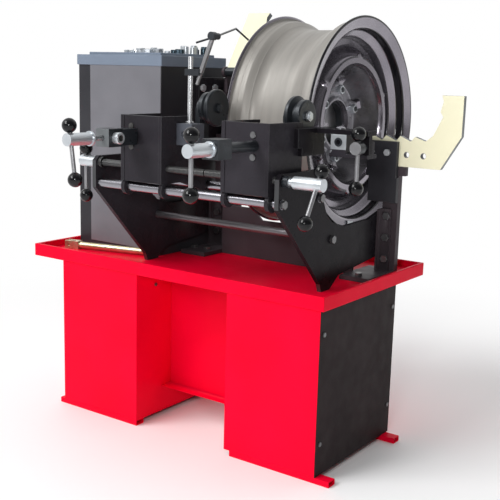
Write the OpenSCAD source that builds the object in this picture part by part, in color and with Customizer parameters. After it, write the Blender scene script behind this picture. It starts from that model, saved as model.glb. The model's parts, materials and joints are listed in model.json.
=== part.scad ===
// Rim straightening machine: a tray table on two pedestals, a drive cabinet that turns the
// clamped wheel rim, two sliding carriages with screw-fed rollers, and two toothed hooks.
// Millimetres. X runs along the front, Y to the back, Z up.
// Origin: on the floor, under the middle of the whole machine.

/* [Table] */
// Length of the tray along the front
table_w = 1000; // [900:5:1100]
// Depth of the tray from front to back
table_d = 545; // [500:5:600]
// Height of the tray's lip above the floor
table_h = 472; // [440:1:520]
// Height of the lip's outer face
lip_h = 36; // [28:1:46]
// Width of the lip
lip_w = 10; // [6:0.5:14]
// Depth of the tray floor below the lip
tray_depth = 18; // [10:0.5:22]
// Thickness of the tray floor
tray_sheet = 3; // [2:0.5:5]

/* [Pedestals] */
// Left pedestal: distance of its outer side from the tray's left end
left_pedestal_x = 116; // [100:1:130]
// Width of the left pedestal
left_pedestal_w = 288; // [240:1:330]
// Width of the right pedestal
right_pedestal_w = 278; // [240:1:330]
// Right pedestal: distance of its outer side from the tray's right end
right_pedestal_inset = 10; // [4:1:30]
// Setback of the pedestals behind the tray's front
pedestal_setback = 4; // [1:0.5:8]
// Depth of the pedestals
pedestal_d = 388; // [340:1:440]
// Sheet thickness of pedestals and panels
sheet = 2; // [1.5:0.25:4]
// Height of the foot tubes
foot_h = 15; // [12:1:25]
// Depth of the foot tubes
foot_d = 30; // [24:1:40]
// Wall of the foot tubes
foot_wall = 2; // [1.5:0.25:3]
// Length of the foot tube outside the left pedestal
left_foot_reach = 17; // [0:1:40]
// Length of the foot tube outside the right pedestal
right_foot_reach = 40; // [10:1:60]
// Setback of the kneehole panel behind the pedestals' front
kneehole_setback = 147; // [100:1:200]
// Height of the kneehole panel's lower edge above the floor
kneehole_clear = 90; // [60:1:130]
// Depth of the kneehole panel's lower flange
kneehole_flange = 42; // [20:1:60]

/* [Drive cabinet] */
// Height of the cabinet case above the tray floor
cabinet_h = 546; // [500:1:600]
// Setback of the cabinet behind the tray's front
cabinet_y = 175; // [172:1:190]
// Depth of the cabinet
cabinet_d = 291; // [280:1:320]
// Sheet thickness of the cabinet
cabinet_sheet = 3; // [2:0.5:5]
// Width of the bare corner strip left of the front cover
corner_strip = 50; // [30:1:70]
// Height of the lid
lid_h = 30; // [22:1:40]
// Overhang of the lid
lid_over = 4; // [2:0.5:8]
// Rise of the raised panel on the lid
lid_rise = 8; // [4:0.5:14]

/* [Spindle and rim] */
// Height of the spindle axis above the tray floor
spindle_rise = 399; // [385:1:410]
// Distance of the spindle axis behind the tray's front
spindle_y = 415; // [408:1:418]
// Diameter of the spindle shaft
spindle_d = 50; // [40:1:54]
// Outer diameter of the rim's flanges
rim_d = 580; // [560:1:584]
// Width of the rim over its flanges
rim_width = 258; // [240:1:270]
// Distance of the rim's outer flange from the tray's right end
rim_inset = 142; // [138:1:150]
// Wall of the rim's barrel
rim_wall = 6; // [4:0.5:8]
// Depth of the wheel disc's hub behind the outer flange
disc_depth = 91; // [80:1:100]
// Depth of the wheel disc's ring behind the outer flange
ring_depth = 30; // [24:1:40]
// Outer diameter of the wheel disc's ring
ring_d = 356; // [340:1:370]
// Thickness of the wheel disc
disc_t = 20; // [12:1:26]
// Centre bore of the wheel disc
disc_bore_d = 128; // [110:1:134]
// Bolt circle of the wheel studs
stud_circle = 186; // [180:1:192]
// Diameter of a wheel stud
stud_d = 14; // [10:1:16]
// Number of spokes and studs
spokes = 6; // [5:1:7]

/* [Side plates and shafts] */
// Distance of the right side plate's outer face from the tray's right end
right_plate_inset = 73; // [68:1:80]
// Thickness of a side plate
plate_t = 12; // [8:1:16]
// Diameter of the two guide shafts
guide_d = 24; // [18:1:28]
// Diameter of the lead screws
screw_d = 18; // [14:1:20]
// Diameter of the feed screws
feed_d = 12; // [10:1:14]
// Diameter of the tie rod
tie_d = 20; // [14:1:26]
// Thickness of the post plates
post_t = 21; // [16:1:24]
// Distance of the posts' front face behind the tray's front
post_y = 413; // [410:1:418]
// Radial running fit of shafts and screws in their bores
running_fit = 0.05; // [0.02:0.01:0.1]
// Gap between faces that slide or turn past each other
face_gap = 0.3; // [0.2:0.05:0.5]

/* [Carriages] */
// Width of a carriage
carriage_w = 135; // [125:1:145]
// Height of a carriage's front plate
carriage_h = 166; // [150:1:180]
// Wall thickness of a carriage
carriage_wall = 10; // [6:0.5:12]
// Distance of the left carriage from the left side plate
left_carriage_gap = 94; // [85:1:100]
// Distance of the right carriage from the right side plate
right_carriage_gap = 15; // [12:1:20]
// Outer radius of the lugs on the guide shafts
lug_r = 22; // [19:0.5:26]
// Outer diameter of a ram tube
ram_d = 26; // [24:1:30]
// Wall of a ram tube
ram_wall = 3; // [2:0.5:3.5]
// Edge of the square block on a ram
block_size = 44; // [38:1:50]
// Length of the block along the ram
block_len = 48; // [40:1:56]
// Edge of the square bar behind the left ram's block
neck_size = 40; // [34:1:42]
// Length of ram tube that shows on the left carriage
left_ram_show = 61; // [45:1:80]
// Length of ram tube that shows on the right carriage
right_ram_show = 112; // [95:1:130]
// Diameter of a pressing roller's larger flange
roller_d = 95; // [88:1:98]
// Diameter of a pressing roller's smaller flange
small_flange_d = 79; // [70:1:84]
// Width of a pressing roller
roller_w = 40; // [34:1:44]
// Depth of the groove round a roller
groove = 6; // [3:0.5:10]
// Diameter of a roller's axle
axle_d = 16; // [12:1:20]

/* [T handles] */
// Diameter of a handle hub
hub_d = 30; // [26:1:36]
// Length of a handle hub
hub_len = 76; // [60:1:80]
// Diameter of the collar on a feed screw's hub
collar_d = 36; // [32:1:40]
// Diameter of a sliding T-bar
bar_d = 10; // [8:0.5:12]
// Diameter of a ball knob
knob_d = 35; // [28:1:38]
// Distance between a T-bar's knob centres
bar_span = 126; // [110:1:140]

/* [Hooks] */
// Height of the front hook
hook_h = 191; // [170:1:210]
// Thickness of a hook plate
hook_t = 15; // [10:1:20]
// Width of the front hook's arm at its top
hook_arm = 60; // [50:1:70]
// Length of the front hook's bar
front_hook_len = 255; // [245:1:260]
// Height of the rear hook
rear_hook_h = 203; // [190:1:215]
// Width of the rear hook's arm at its top
rear_arm = 79; // [70:1:88]
// Pitch of the teeth along a hook's bar
tooth_pitch = 42; // [36:1:48]
// Depth of the teeth
tooth_depth = 13; // [8:1:18]
// Diameter of the two free holes in the front hook
hook_hole_d = 15; // [11:0.5:18]
// Spacing of the two free holes
hook_hole_gap = 48; // [40:1:54]
// Lean of the rear hook at rest, in degrees
rear_lean = 32; // [20:1:40]

/* [Gauge and side head] */
// Height of the gauge post above its magnetic base
gauge_post_h = 163; // [150:1:180]
// Diameter of the gauge post
gauge_post_d = 12; // [10:0.5:14]
// Length of the side head's top plate
side_plate_len = 139; // [130:1:146]
// Height of the side head's bracket
side_h = 65; // [60:1:75]
// Travel of the side head's pad
pad_travel = 8; // [4:1:10]

/* [Hidden] */
$fn = 64;
hull_fn = 32;

// Table levels and pedestal places
floor_z = table_h - tray_depth;
tray_under = table_h - lip_h;
left_pedestal_end = left_pedestal_x + left_pedestal_w;
right_pedestal_end = table_w - right_pedestal_inset;
right_pedestal_x = right_pedestal_end - right_pedestal_w;
pedestal_back = pedestal_setback + pedestal_d;
side_panel_x = right_pedestal_end + sheet;
kneehole_y = pedestal_setback + kneehole_setback;
rear_foot_y = pedestal_back - foot_d - 10;
right_foot_start = 18;

// Side plates, shafts and posts; the drive end takes two fifths of a change in the tray's length
drive_share = 0.4;
drive_offset = 60;
left_plate_x = drive_share * table_w - drive_offset;
left_plate_end = left_plate_x + plate_t;
right_plate_end = table_w - right_plate_inset;
right_plate_x = right_plate_end - plate_t;
guide_front = [-80, floor_z + 238];
guide_rear = [86, floor_z + 238];
lead_at = [-76, floor_z + 291];
tie_at = [148, floor_z + 128];
base_plate_t = 12;
strip_t = 8;
post_w = 88;
right_post_end = right_plate_end + 45;
post_back = post_y + post_t;

// Spindle, rim and cabinet
spindle_z = floor_z + spindle_rise;
rim_r = rim_d / 2;
rim_face_x = table_w - rim_inset;
rim_left_x = rim_face_x - rim_width;
disc_face_x = rim_face_x - disc_depth;
disc_back_x = disc_face_x - disc_t;
wheel_turn = 5;
cabinet_x = lip_w + 1;
cabinet_end = left_plate_x - 2;
cabinet_top = floor_z + cabinet_h;
cabinet_back = cabinet_y + cabinet_d;
cabinet_in = cabinet_end - cabinet_sheet;
spindle_plate_t = 12;
spindle_nose = cabinet_end + spindle_plate_t;
bearing_r = spindle_d / 2 + 15;
bearing_w = 16;
housing_r = bearing_r + 6;
housing_len = 80;
pulley_w = 25;
spindle_pulley_r = 40;
motor_pulley_r = 24;
belt_t = 6;
pulley_x = cabinet_in - housing_len - 20 - pulley_w;
motor_r = 60;
motor_len = 130;
motor_shaft_r = 9.5;
motor_shaft_in = 40;
motor_at = [spindle_y - 85, floor_z + 88];
motor_x = pulley_x - 15 - motor_len;
flange_r = stud_circle / 2 + 24;
flange_t = 16;

// Carriages, rams and rollers
left_carriage_x = left_plate_end + left_carriage_gap;
right_carriage_x = right_plate_x - right_carriage_gap - carriage_w;
carriage_front = lead_at[0] - 26;
carriage_z = guide_front[1] + 16;
carriage_top = carriage_z + carriage_h;
wall_rear = 40;
short_wall_rear = 8;
mid_plate_y = -40;
ram_z = carriage_top - 52;
ram_r = ram_d / 2;
ram_offset = carriage_w / 2 - 25;
left_ram_x = left_carriage_x + ram_offset;
right_ram_x = right_carriage_x + carriage_w - ram_offset;
left_block_y = carriage_front - left_ram_show - block_len;
right_block_y = carriage_front - right_ram_show - block_len;
crosshead_d = 30;
crosshead_h = 54;
arm_t = 16;
roller_r = roller_d / 2;
axle_r = axle_d / 2;
roller_clear = 6;
roller_reach = rim_r + roller_r + roller_clear;
left_roller_x = rim_left_x;
right_roller_x = rim_face_x + 12;
left_roller_z = ram_z + 72;
right_roller_z = ram_z + 64;
left_roller_y = spindle_y - sqrt(pow(roller_reach, 2) - pow(left_roller_z - spindle_z, 2));
right_roller_y = spindle_y - sqrt(pow(roller_reach, 2) - pow(right_roller_z - spindle_z, 2));
crosshead_y = min(left_roller_y, right_roller_y) - 23;
nut_len = 30;
key_w = 8;
retract = 25;
screw_r = screw_d / 2;
feed_r = feed_d / 2;
plate_inset = 2;
neck_gap = 6;

// Handles
hub_r = hub_d / 2;
bar_r = bar_d / 2;
knob_r = knob_d / 2;
knob_seat = hub_r + knob_r + face_gap;
bar_inset = 13;
collar_t = 4;
left_feed_hub_gap = 39;
left_feed_front = left_block_y - left_feed_hub_gap - hub_len;
right_feed_front = right_block_y - face_gap - hub_len;
right_lead_gap = 28;
right_lead_end = right_plate_end + right_lead_gap + hub_len;
left_feed_tilt = 8;
right_lead_tilt = 29;

// Hooks
hook_y = post_y;
hook_rise = 296;
hook_bottom = floor_z + hook_rise;
hook_reach = 213;
hook_right = right_plate_end + hook_reach;
front_hook_left = hook_right - front_hook_len;
bar_h = 68;
hook_hole_z = hook_bottom + 32;
hook_holes_x = hook_right - 126;
clamp_x = right_plate_end - 48;
clamp_w = 89;
clamp_t = 12;
rear_hook_clear = 26;
rear_hook_x = left_plate_end + 44;
rear_hook_len = rim_left_x - rear_hook_clear - rear_hook_x;
rear_pivot_rise = 531;
rear_pivot = [post_y - 8, floor_z + rear_pivot_rise];
rear_pin_r = 7;
ear_t = 10;
upper_post_y = spindle_y + spindle_d / 2 + 6;

// Gauge and side head
gauge_x = left_carriage_x + carriage_w;
gauge_size = [48, 50, 54];
gauge_y = -45;
gauge_z = ram_z - 19;
gauge_post_at = [gauge_x + 22, gauge_y + 25];
gauge_post_top = gauge_z + gauge_size[2] + gauge_post_h;
clamp_block = [20, 22, 16];
gauge_arm_drop = 38;
gauge_arm_z = gauge_post_top - gauge_arm_drop;
arm_foot = [gauge_post_at[0] + 22, gauge_post_at[1] - 1, gauge_arm_z - 29];
arm_reach = 68;
arm_tip = [gauge_post_at[0] + arm_reach, gauge_post_at[1] - 1, gauge_post_top + 45];
swivel_r = 10;
swivel_at = [arm_tip[0], arm_tip[1] + 15, arm_tip[2] + 4];
side_x = right_carriage_x + carriage_w;
side_z = carriage_top - 79;
side_top = side_z + side_h;
side_t = 12;
side_y = 80;
side_d = 40;
nut_block_w = 22;
nut_block_d = 14;
pad_gap = 40;
nut_block_x = side_x + side_t + side_plate_len - nut_block_w;
side_axis_x = nut_block_x + nut_block_w / 2;
side_axis_z = side_z + 26;
side_screw_r = 7;
side_hub_len = 24;
pad_w = 42;
nut_block_y = side_y + 8;
side_bar_y = side_y - knob_r - pad_travel - 1;
side_hub_y = side_bar_y - side_hub_len / 2;

// Whole machine: its middle in X and Y
front_knob_y = right_feed_front + bar_inset - knob_r;
middle_x = hook_right / 2;
middle_y = (front_knob_y + spindle_y + rim_r) / 2;

// Shared shapes

// Moves a shape from tray coordinates (front left corner) to the machine's origin
module placed() {
    translate([-middle_x, -middle_y, 0])
        children();
}

// Box between two corners
module block(low, high) {
    translate(low)
        cube(high - low);
}

// Cylinder along X from x0 to x1 at [y, z]
module rod_x(x0, x1, at, r) {
    translate([x0, at[0], at[1]])
        rotate([0, 90, 0])
            cylinder(h = x1 - x0, r = r);
}

// Cylinder along Y from y0 to y1 at [x, z]
module rod_y(y0, y1, at, r) {
    translate([at[0], y0, at[1]])
        rotate([-90, 0, 0])
            cylinder(h = y1 - y0, r = r);
}

// Extrudes an outline drawn in (y, z) along X
module plate_x(x0, t) {
    translate([x0, 0, 0])
        rotate([90, 0, 90])
            linear_extrude(t)
                children();
}

// Extrudes an outline drawn in (x, z) along Y
module plate_y(y0, t) {
    translate([0, y0 + t, 0])
        rotate([90, 0, 0])
            linear_extrude(t)
                children();
}

// Hexagon head whose axis is Z
module hex_head(across, h) {
    cylinder(h = h, r = across / sqrt(3), $fn = 6);
}

// Hexagon head standing on a plate that faces the given way
module head_at(at, turn, across, h) {
    translate(at)
        rotate(turn)
            hex_head(across, h);
}

// T-bar with two ball knobs; its upper knob rests on a hub at the origin, bar along Z
module t_bar() {
    translate([0, 0, knob_seat - bar_span])
        cylinder(h = bar_span, r = bar_r);
    for (z = [knob_seat, knob_seat - bar_span])
        translate([0, 0, z])
            sphere(r = knob_r);
}

// Handle hub along +Z from the origin, cross-bored along X for a T-bar near its outer end
module hub(len, inset, turn) {
    difference() {
        cylinder(h = len, r = hub_r);
        translate([0, 0, inset])
            rotate([0, 90, turn])
                translate([0, 0, -hub_r - 1])
                    cylinder(h = hub_d + 2, r = bar_r + running_fit);
    }
}

// Table

module tray_top() {
    color([0.86, 0.05, 0.12])
        placed()
            difference() {
                block([0, 0, tray_under], [table_w, table_d, table_h]);
                block([lip_w, lip_w, floor_z], [table_w - lip_w, table_d - lip_w, table_h + 1]);
                block([lip_w, lip_w, tray_under - 1],
                      [table_w - lip_w, table_d - lip_w, floor_z - tray_sheet]);
            }
}

// Open box of sheet between two X places, standing on the foot tubes
module pedestal_box(x0, x1) {
    difference() {
        block([x0, pedestal_setback, foot_h], [x1, pedestal_back, tray_under]);
        block([x0 + sheet, pedestal_setback + sheet, foot_h - 1],
              [x1 - sheet, pedestal_back - sheet, tray_under + 1]);
    }
}

module left_pedestal() {
    color([0.9, 0.05, 0.15])
        placed()
            pedestal_box(left_pedestal_x, left_pedestal_end);
}

module right_pedestal() {
    window = 25;
    color([0.9, 0.05, 0.15])
        placed()
            difference() {
                pedestal_box(right_pedestal_x, right_pedestal_end);
                block([right_pedestal_end - sheet - 1, pedestal_setback + window, foot_h + window],
                      [right_pedestal_end + 1, pedestal_back - window, tray_under - window]);
            }
}

module right_side_panel() {
    color([0.12, 0.12, 0.13])
        placed()
            block([right_pedestal_end, pedestal_setback, foot_h],
                  [side_panel_x, pedestal_back, tray_under]);
}

module kneehole_panel() {
    color([0.7, 0.03, 0.06])
        placed() {
            block([left_pedestal_end, kneehole_y, kneehole_clear],
                  [right_pedestal_x, kneehole_y + sheet, tray_under]);
            block([left_pedestal_end, kneehole_y - kneehole_flange, kneehole_clear],
                  [right_pedestal_x, kneehole_y + sheet, kneehole_clear + sheet]);
        }
}

// Square tube along X on the floor
module foot_tube(x0, x1, y0) {
    difference() {
        block([x0, y0, 0], [x1, y0 + foot_d, foot_h]);
        block([x0 - 1, y0 + foot_wall, foot_wall],
              [x1 + 1, y0 + foot_d - foot_wall, foot_h - foot_wall]);
    }
}

module foot_tubes() {
    color([0.85, 0.05, 0.12])
        placed()
            for (y0 = [pedestal_setback, rear_foot_y]) {
                foot_tube(left_pedestal_x - left_foot_reach, left_pedestal_end, y0);
                foot_tube(right_pedestal_x + right_foot_start, side_panel_x + right_foot_reach, y0);
            }
}

// Drive cabinet

module cabinet_case() {
    color([0.25, 0.25, 0.27])
        placed()
            difference() {
                block([cabinet_x, cabinet_y, floor_z], [cabinet_end, cabinet_back, cabinet_top]);
                block([cabinet_x + cabinet_sheet, cabinet_y + cabinet_sheet, floor_z - 1],
                      [cabinet_in, cabinet_back - cabinet_sheet, cabinet_top + 1]);
                rod_x(cabinet_in - 1, cabinet_end + 1, [spindle_y, spindle_z], spindle_d / 2 + 3);
            }
}

module cabinet_front() {
    color([0.46, 0.46, 0.48])
        placed()
            block([cabinet_x + corner_strip, cabinet_y - cabinet_sheet, floor_z + 14],
                  [cabinet_end, cabinet_y, cabinet_top - lid_over]);
}

module cabinet_lid() {
    inset = 22;
    color([0.2, 0.2, 0.22])
        placed()
            difference() {
                union() {
                    block([cabinet_x - lid_over, cabinet_y - lid_over, cabinet_top - lid_over],
                          [cabinet_end + lid_over, cabinet_back + lid_over, cabinet_top - lid_over + lid_h]);
                    block([cabinet_x + inset, cabinet_y + inset, cabinet_top],
                          [cabinet_end - inset, cabinet_back - inset,
                           cabinet_top - lid_over + lid_h + lid_rise]);
                }
                block([cabinet_x - face_gap, cabinet_y - face_gap, cabinet_top - lid_over - 1],
                      [cabinet_end + face_gap, cabinet_back + face_gap, cabinet_top]);
            }
}

module drive_motor() {
    foot_w = 100;
    color([0.3, 0.33, 0.36])
        placed() {
            difference() {
                rod_x(motor_x, motor_x + motor_len, motor_at, motor_r);
                rod_x(motor_x + motor_len - motor_shaft_in, motor_x + motor_len + 1, motor_at,
                      motor_shaft_r + running_fit);
            }
            block([motor_x + 12, motor_at[0] - foot_w / 2, floor_z],
                  [motor_x + motor_len - 12, motor_at[0] + foot_w / 2, floor_z + 12]);
            block([motor_x + 30, motor_at[0] - foot_w / 4, floor_z + 6],
                  [motor_x + motor_len - 30, motor_at[0] + foot_w / 4, motor_at[1] - motor_r / 2]);
        }
}

// Outline of a belt round both pulleys, grown by a thickness, in (y, z)
module belt_outline(grow) {
    hull() {
        translate([spindle_y, spindle_z])
            circle(r = spindle_pulley_r + grow, $fn = hull_fn * 2);
        translate(motor_at)
            circle(r = motor_pulley_r + grow, $fn = hull_fn * 2);
    }
}

module drive_belt() {
    belt_gap = 0.6;
    color([0.05, 0.05, 0.05])
        placed()
            plate_x(pulley_x + 4, pulley_w - 8)
                difference() {
                    belt_outline(belt_t);
                    belt_outline(belt_gap);
                }
}

module bearing_housing() {
    color([0.35, 0.35, 0.37])
        placed()
            difference() {
                rod_x(cabinet_in - housing_len, cabinet_in, [spindle_y, spindle_z], housing_r);
                rod_x(cabinet_in - housing_len - 1, cabinet_in + 1, [spindle_y, spindle_z],
                      bearing_r + running_fit);
            }
}

module spindle_bearings() {
    color([0.75, 0.76, 0.78])
        placed()
            for (x0 = [cabinet_in - housing_len, cabinet_in - bearing_w])
                difference() {
                    rod_x(x0, x0 + bearing_w, [spindle_y, spindle_z], bearing_r);
                    rod_x(x0 - 1, x0 + bearing_w + 1, [spindle_y, spindle_z],
                          spindle_d / 2 + running_fit);
                }
}

module spindle_plate() {
    color([0.14, 0.14, 0.15])
        placed()
            difference() {
                block([cabinet_end, spindle_y - 85, spindle_z - 113],
                      [spindle_nose, cabinet_back - 4, spindle_z + 115]);
                rod_x(cabinet_end - 1, spindle_nose + 1, [spindle_y, spindle_z], spindle_d / 2 + 3);
            }
}

// Frame

// Outline of a side plate in (y, z), the rear arm reaching to the post
module side_outline() {
    top = floor_z + 308;
    corner = 12;
    arm_end = post_y - strip_t;
    polygon([
        [-97, floor_z + 226], [-97, top - corner], [-97 + corner, top], [88 - corner, top],
        [88, top - corner], [92, floor_z + 245], [120, floor_z + 193], [146, floor_z + 172],
        [212, floor_z + 154], [345, floor_z + 157], [arm_end, floor_z + 172],
        [arm_end, floor_z + 51], [190, floor_z + 30], [147, floor_z], [107, floor_z],
        [99, floor_z + 21]
    ]);
}

module side_plate(x0) {
    difference() {
        plate_x(x0, plate_t)
            side_outline();
        for (at = [guide_front, guide_rear])
            rod_x(x0 - 1, x0 + plate_t + 1, at, guide_d / 2 + running_fit);
        rod_x(x0 - 1, x0 + plate_t + 1, lead_at, screw_r + running_fit);
        rod_x(x0 - 1, x0 + plate_t + 1, tie_at, tie_d / 2 + running_fit);
    }
}

module left_side_plate() {
    color([0.13, 0.12, 0.13])
        placed()
            side_plate(left_plate_x);
}

module right_side_plate() {
    color([0.13, 0.12, 0.13])
        placed()
            side_plate(right_plate_x);
}

// Angle strip that joins a side plate's rear arm to its post
module angle_strip(x0, z0, z1) {
    leg = 30;
    block([x0, post_y - strip_t, z0], [x0 + leg, post_y, z1]);
    block([x0, post_y - leg, z0], [x0 + strip_t, post_y, z1]);
}

module left_post() {
    lower_top = spindle_z - spindle_d / 2 - 28;
    upper_t = 18;
    hinge_r = rear_pin_r + 9;
    ears = [rear_hook_x - ear_t - face_gap, rear_hook_x + rear_arm + face_gap];
    color([0.15, 0.15, 0.16])
        placed() {
            block([left_plate_end, post_y - 160, floor_z],
                  [left_plate_end + post_w, post_back, floor_z + base_plate_t]);
            block([left_plate_end, post_y, floor_z], [left_plate_end + post_w, post_back, lower_top]);
            angle_strip(left_plate_end, floor_z + base_plate_t, floor_z + 150);
            block([left_plate_end, post_y + 4, lower_top - 90],
                  [left_plate_end + post_w, upper_post_y + upper_t, lower_top]);
            block([left_plate_end, upper_post_y, lower_top - 90],
                  [ears[1] + ear_t, upper_post_y + upper_t, rear_pivot[1] - 24]);
            for (x0 = ears)
                difference() {
                    union() {
                        block([x0, rear_pivot[0] + 2, rear_pivot[1] - 60],
                              [x0 + ear_t, upper_post_y + upper_t, rear_pivot[1] - 8]);
                        rod_x(x0, x0 + ear_t, rear_pivot, hinge_r);
                    }
                    rod_x(x0 - 1, x0 + ear_t + 1, rear_pivot, rear_pin_r - 1);
                }
            rod_x(ears[0] - 6, ears[1] + ear_t + 6, rear_pivot, rear_pin_r);
        }
}

module right_post() {
    peg = [18, 16, 25];
    color([0.15, 0.15, 0.16])
        placed() {
            block([right_plate_x - 30, post_y - 145, floor_z],
                  [right_post_end, post_back, floor_z + base_plate_t]);
            block([right_plate_end, post_y, floor_z], [right_post_end, post_back, hook_bottom]);
            block([right_post_end - 1, post_y, hook_bottom - peg[2]],
                  [right_post_end + peg[0], post_y + peg[1], hook_bottom]);
            angle_strip(right_plate_end, floor_z + base_plate_t, floor_z + 180);
        }
}

// Dark panel behind the tie rod, high beside the left post and low under the rim
module cross_panel() {
    rear = post_y - 67;
    panel_t = 8;
    x0 = left_plate_end + post_w;
    x1 = right_plate_x - 30;
    panel_clear = 3.3;
    high = floor_z + 146;
    low = spindle_z - sqrt(pow(rim_r, 2) - pow(spindle_y - rear, 2)) - panel_clear;
    step_x = rim_left_x - 18;
    color([0.14, 0.14, 0.15])
        placed()
            plate_y(rear - panel_t, panel_t)
                polygon([[x0, floor_z], [x1, floor_z], [x1, low], [step_x, low],
                         [step_x - (high - low), high], [x0, high]]);
}

module guide_shafts() {
    color([0.8, 0.81, 0.83])
        placed()
            for (at = [guide_front, guide_rear])
                rod_x(left_plate_x, right_plate_end, at, guide_d / 2);
}

module tie_rod() {
    color([0.2, 0.2, 0.2])
        placed()
            rod_x(left_plate_x, right_plate_end, tie_at, tie_d / 2);
}

// Heads of the frame's screws and bolts, one solid each
module frame_bolts() {
    across = 19;
    h = 8;
    panel_in = 16;
    screw_h = 3;
    base_top = floor_z + base_plate_t;
    color([0.6, 0.6, 0.62])
        placed() {
            for (at = [guide_front, guide_rear, tie_at]) {
                head_at([right_plate_end, at[0], at[1]], [0, 90, 0], across, h);
                head_at([left_plate_x, at[0], at[1]], [0, -90, 0], across, h);
            }
            for (z = [43, 102, 161])
                head_at([right_plate_end + 19, post_y - strip_t, floor_z + z], [90, 0, 0], across, h);
            for (z = [52, 109])
                head_at([left_plate_end + 19, post_y - strip_t, floor_z + z], [90, 0, 0], across, h);
            head_at([right_plate_end + 3, post_y - 122, base_top], [0, 0, 0], across, h);
            for (x = [15, 62])
                head_at([left_plate_end + x, post_y - 113, base_top], [0, 0, 0], across, h);
            for (x = [14, 61])
                head_at([clamp_x + x, hook_y - clamp_t, hook_hole_z + 4], [90, 0, 0], across - 3, h);
            for (y = [spindle_y - 70, spindle_y - 13], z = [spindle_z - 90, spindle_z + 84])
                head_at([spindle_nose, y, z], [0, 90, 0], across, h);
            for (y = [pedestal_setback + panel_in, pedestal_back - panel_in], z = [98, tray_under - 60])
                translate([side_panel_x, y, z])
                    rotate([0, 90, 0])
                        cylinder(h = screw_h, r = 6);
            translate([left_pedestal_end, pedestal_setback + 78, tray_under - 40])
                rotate([0, 90, 0])
                    cylinder(h = screw_h, r = 5);
        }
}

// Hooks

// Toothed J outline: bar along +x from 0 to len, arm at the far end up to top, bottom at z = 0;
// the heel below the arm is cut off by [width, height]
module hook_outline(len, arm, top, heel) {
    fall = tooth_pitch * 0.73;
    root = bar_h + tooth_depth;
    inner = len - arm;
    teeth = max(0, floor((inner - 40) / tooth_pitch));
    saw = [for (i = [0 : 1 : teeth - 1], k = [0, 1])
        [i * tooth_pitch + (k == 0 ? 0 : fall), root - k * tooth_depth]];
    polygon(concat(
        [[0, 0]], saw,
        [[teeth * tooth_pitch, root], [inner - 38, root - 10], [inner - 18, root + 6],
         [inner + 6, top - 55], [inner - 2, top - 42], [inner + 5, top - 16],
         [inner, top], [len, top], [len, heel[1]], [len - heel[0], 0]]));
}

module front_hook() {
    color([0.96, 0.93, 0.78])
        placed()
            difference() {
                translate([front_hook_left, 0, hook_bottom])
                    plate_y(hook_y, hook_t)
                        hook_outline(front_hook_len, hook_arm, hook_h, [53, 88]);
                for (x = [-0.5, 0.5])
                    rod_y(hook_y - 1, hook_y + hook_t + 1,
                          [hook_holes_x + x * hook_hole_gap, hook_hole_z], hook_hole_d / 2);
            }
}

module hook_clamp() {
    lower = 98;
    color([0.13, 0.13, 0.14])
        placed() {
            block([clamp_x, hook_y - clamp_t, hook_bottom - 30],
                  [clamp_x + clamp_w, hook_y, hook_bottom + bar_h - 2]);
            block([clamp_x + 7, hook_y - clamp_t, hook_bottom - lower],
                  [right_post_end, hook_y, hook_bottom - 30]);
        }
}

module rear_hook() {
    knuckle_r = rear_pin_r + 7;
    color([0.96, 0.93, 0.78])
        placed()
            translate([0, rear_pivot[0], rear_pivot[1]])
                rotate([-rear_lean, 0, 0])
                    difference() {
                        union() {
                            translate([rear_hook_x + rear_hook_len, -hook_t / 2, 0])
                                mirror([1, 0, 0])
                                    plate_y(0, hook_t)
                                        hook_outline(rear_hook_len, rear_arm, rear_hook_h, [6, 8]);
                            rod_x(rear_hook_x, rear_hook_x + rear_arm, [0, 0], knuckle_r);
                        }
                        rod_x(rear_hook_x - 1, rear_hook_x + rear_arm + 1, [0, 0],
                              rear_pin_r + running_fit);
                        block([rear_hook_x + rear_arm, -hook_t, -1],
                              [rear_hook_x + rear_arm + ear_t + 8, hook_t, knuckle_r + 6]);
                    }
}

// Loose straightening lever lying in the tray, with a fork at one end and a collar at the other
module lever_bar() {
    r = 12;
    start = [48, 84];
    turn = 14;
    end_gap = 15.5;
    len = (left_plate_x - start[0] - end_gap) / cos(turn);
    fork = 46;
    slot = 12;
    pin_r = 4;
    pin_at = 14;
    color([0.8, 0.72, 0.5])
        placed()
            translate([start[0], start[1], floor_z + r])
                rotate([0, 0, turn])
                    difference() {
                        union() {
                            rod_x(fork - 4, len, [0, 0], r - 2);
                            rod_x(len - 22, len, [0, 0], r);
                            block([0, -r, -r], [fork, r, r]);
                        }
                        block([-1, -slot / 2, -r - 1], [fork - 14, slot / 2, r + 1]);
                        rod_y(-r - 1, r + 1, [pin_at, 0], pin_r);
                    }
}

// Spindle and rim

module spindle_shaft() {
    pilot = 8;
    pilot_r = disc_bore_d / 2 - face_gap;
    recess_r = pilot_r - 7;
    recess_floor = 4;
    at = [spindle_y, spindle_z];
    color([0.55, 0.56, 0.58])
        placed() {
            difference() {
                union() {
                    rod_x(pulley_x - 20, disc_back_x, at, spindle_d / 2);
                    rod_x(disc_back_x - flange_t, disc_back_x, at, flange_r);
                    rod_x(disc_back_x - 1, disc_back_x + pilot, at, pilot_r);
                }
                rod_x(disc_back_x - flange_t + recess_floor, disc_back_x + pilot + 1, at, recess_r);
            }
            for (k = [0 : spokes - 1])
                translate([disc_back_x - 1, spindle_y, spindle_z])
                    rotate([k * 360 / spokes - wheel_turn, 0, 0])
                        translate([0, 0, stud_circle / 2])
                            rotate([0, 90, 0])
                                cylinder(h = disc_t + 18, r = stud_d / 2);
        }
}

module spindle_pulley() {
    color([0.5, 0.5, 0.52])
        placed()
            pulley(spindle_pulley_r, [spindle_y, spindle_z], spindle_d / 2 + running_fit);
}

module motor_pulley() {
    color([0.5, 0.5, 0.52])
        placed()
            union() {
                pulley(motor_pulley_r, motor_at, motor_shaft_r - 1);
                rod_x(motor_x + motor_len - motor_shaft_in + face_gap, pulley_x + pulley_w, motor_at,
                      motor_shaft_r);
            }
}

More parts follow.
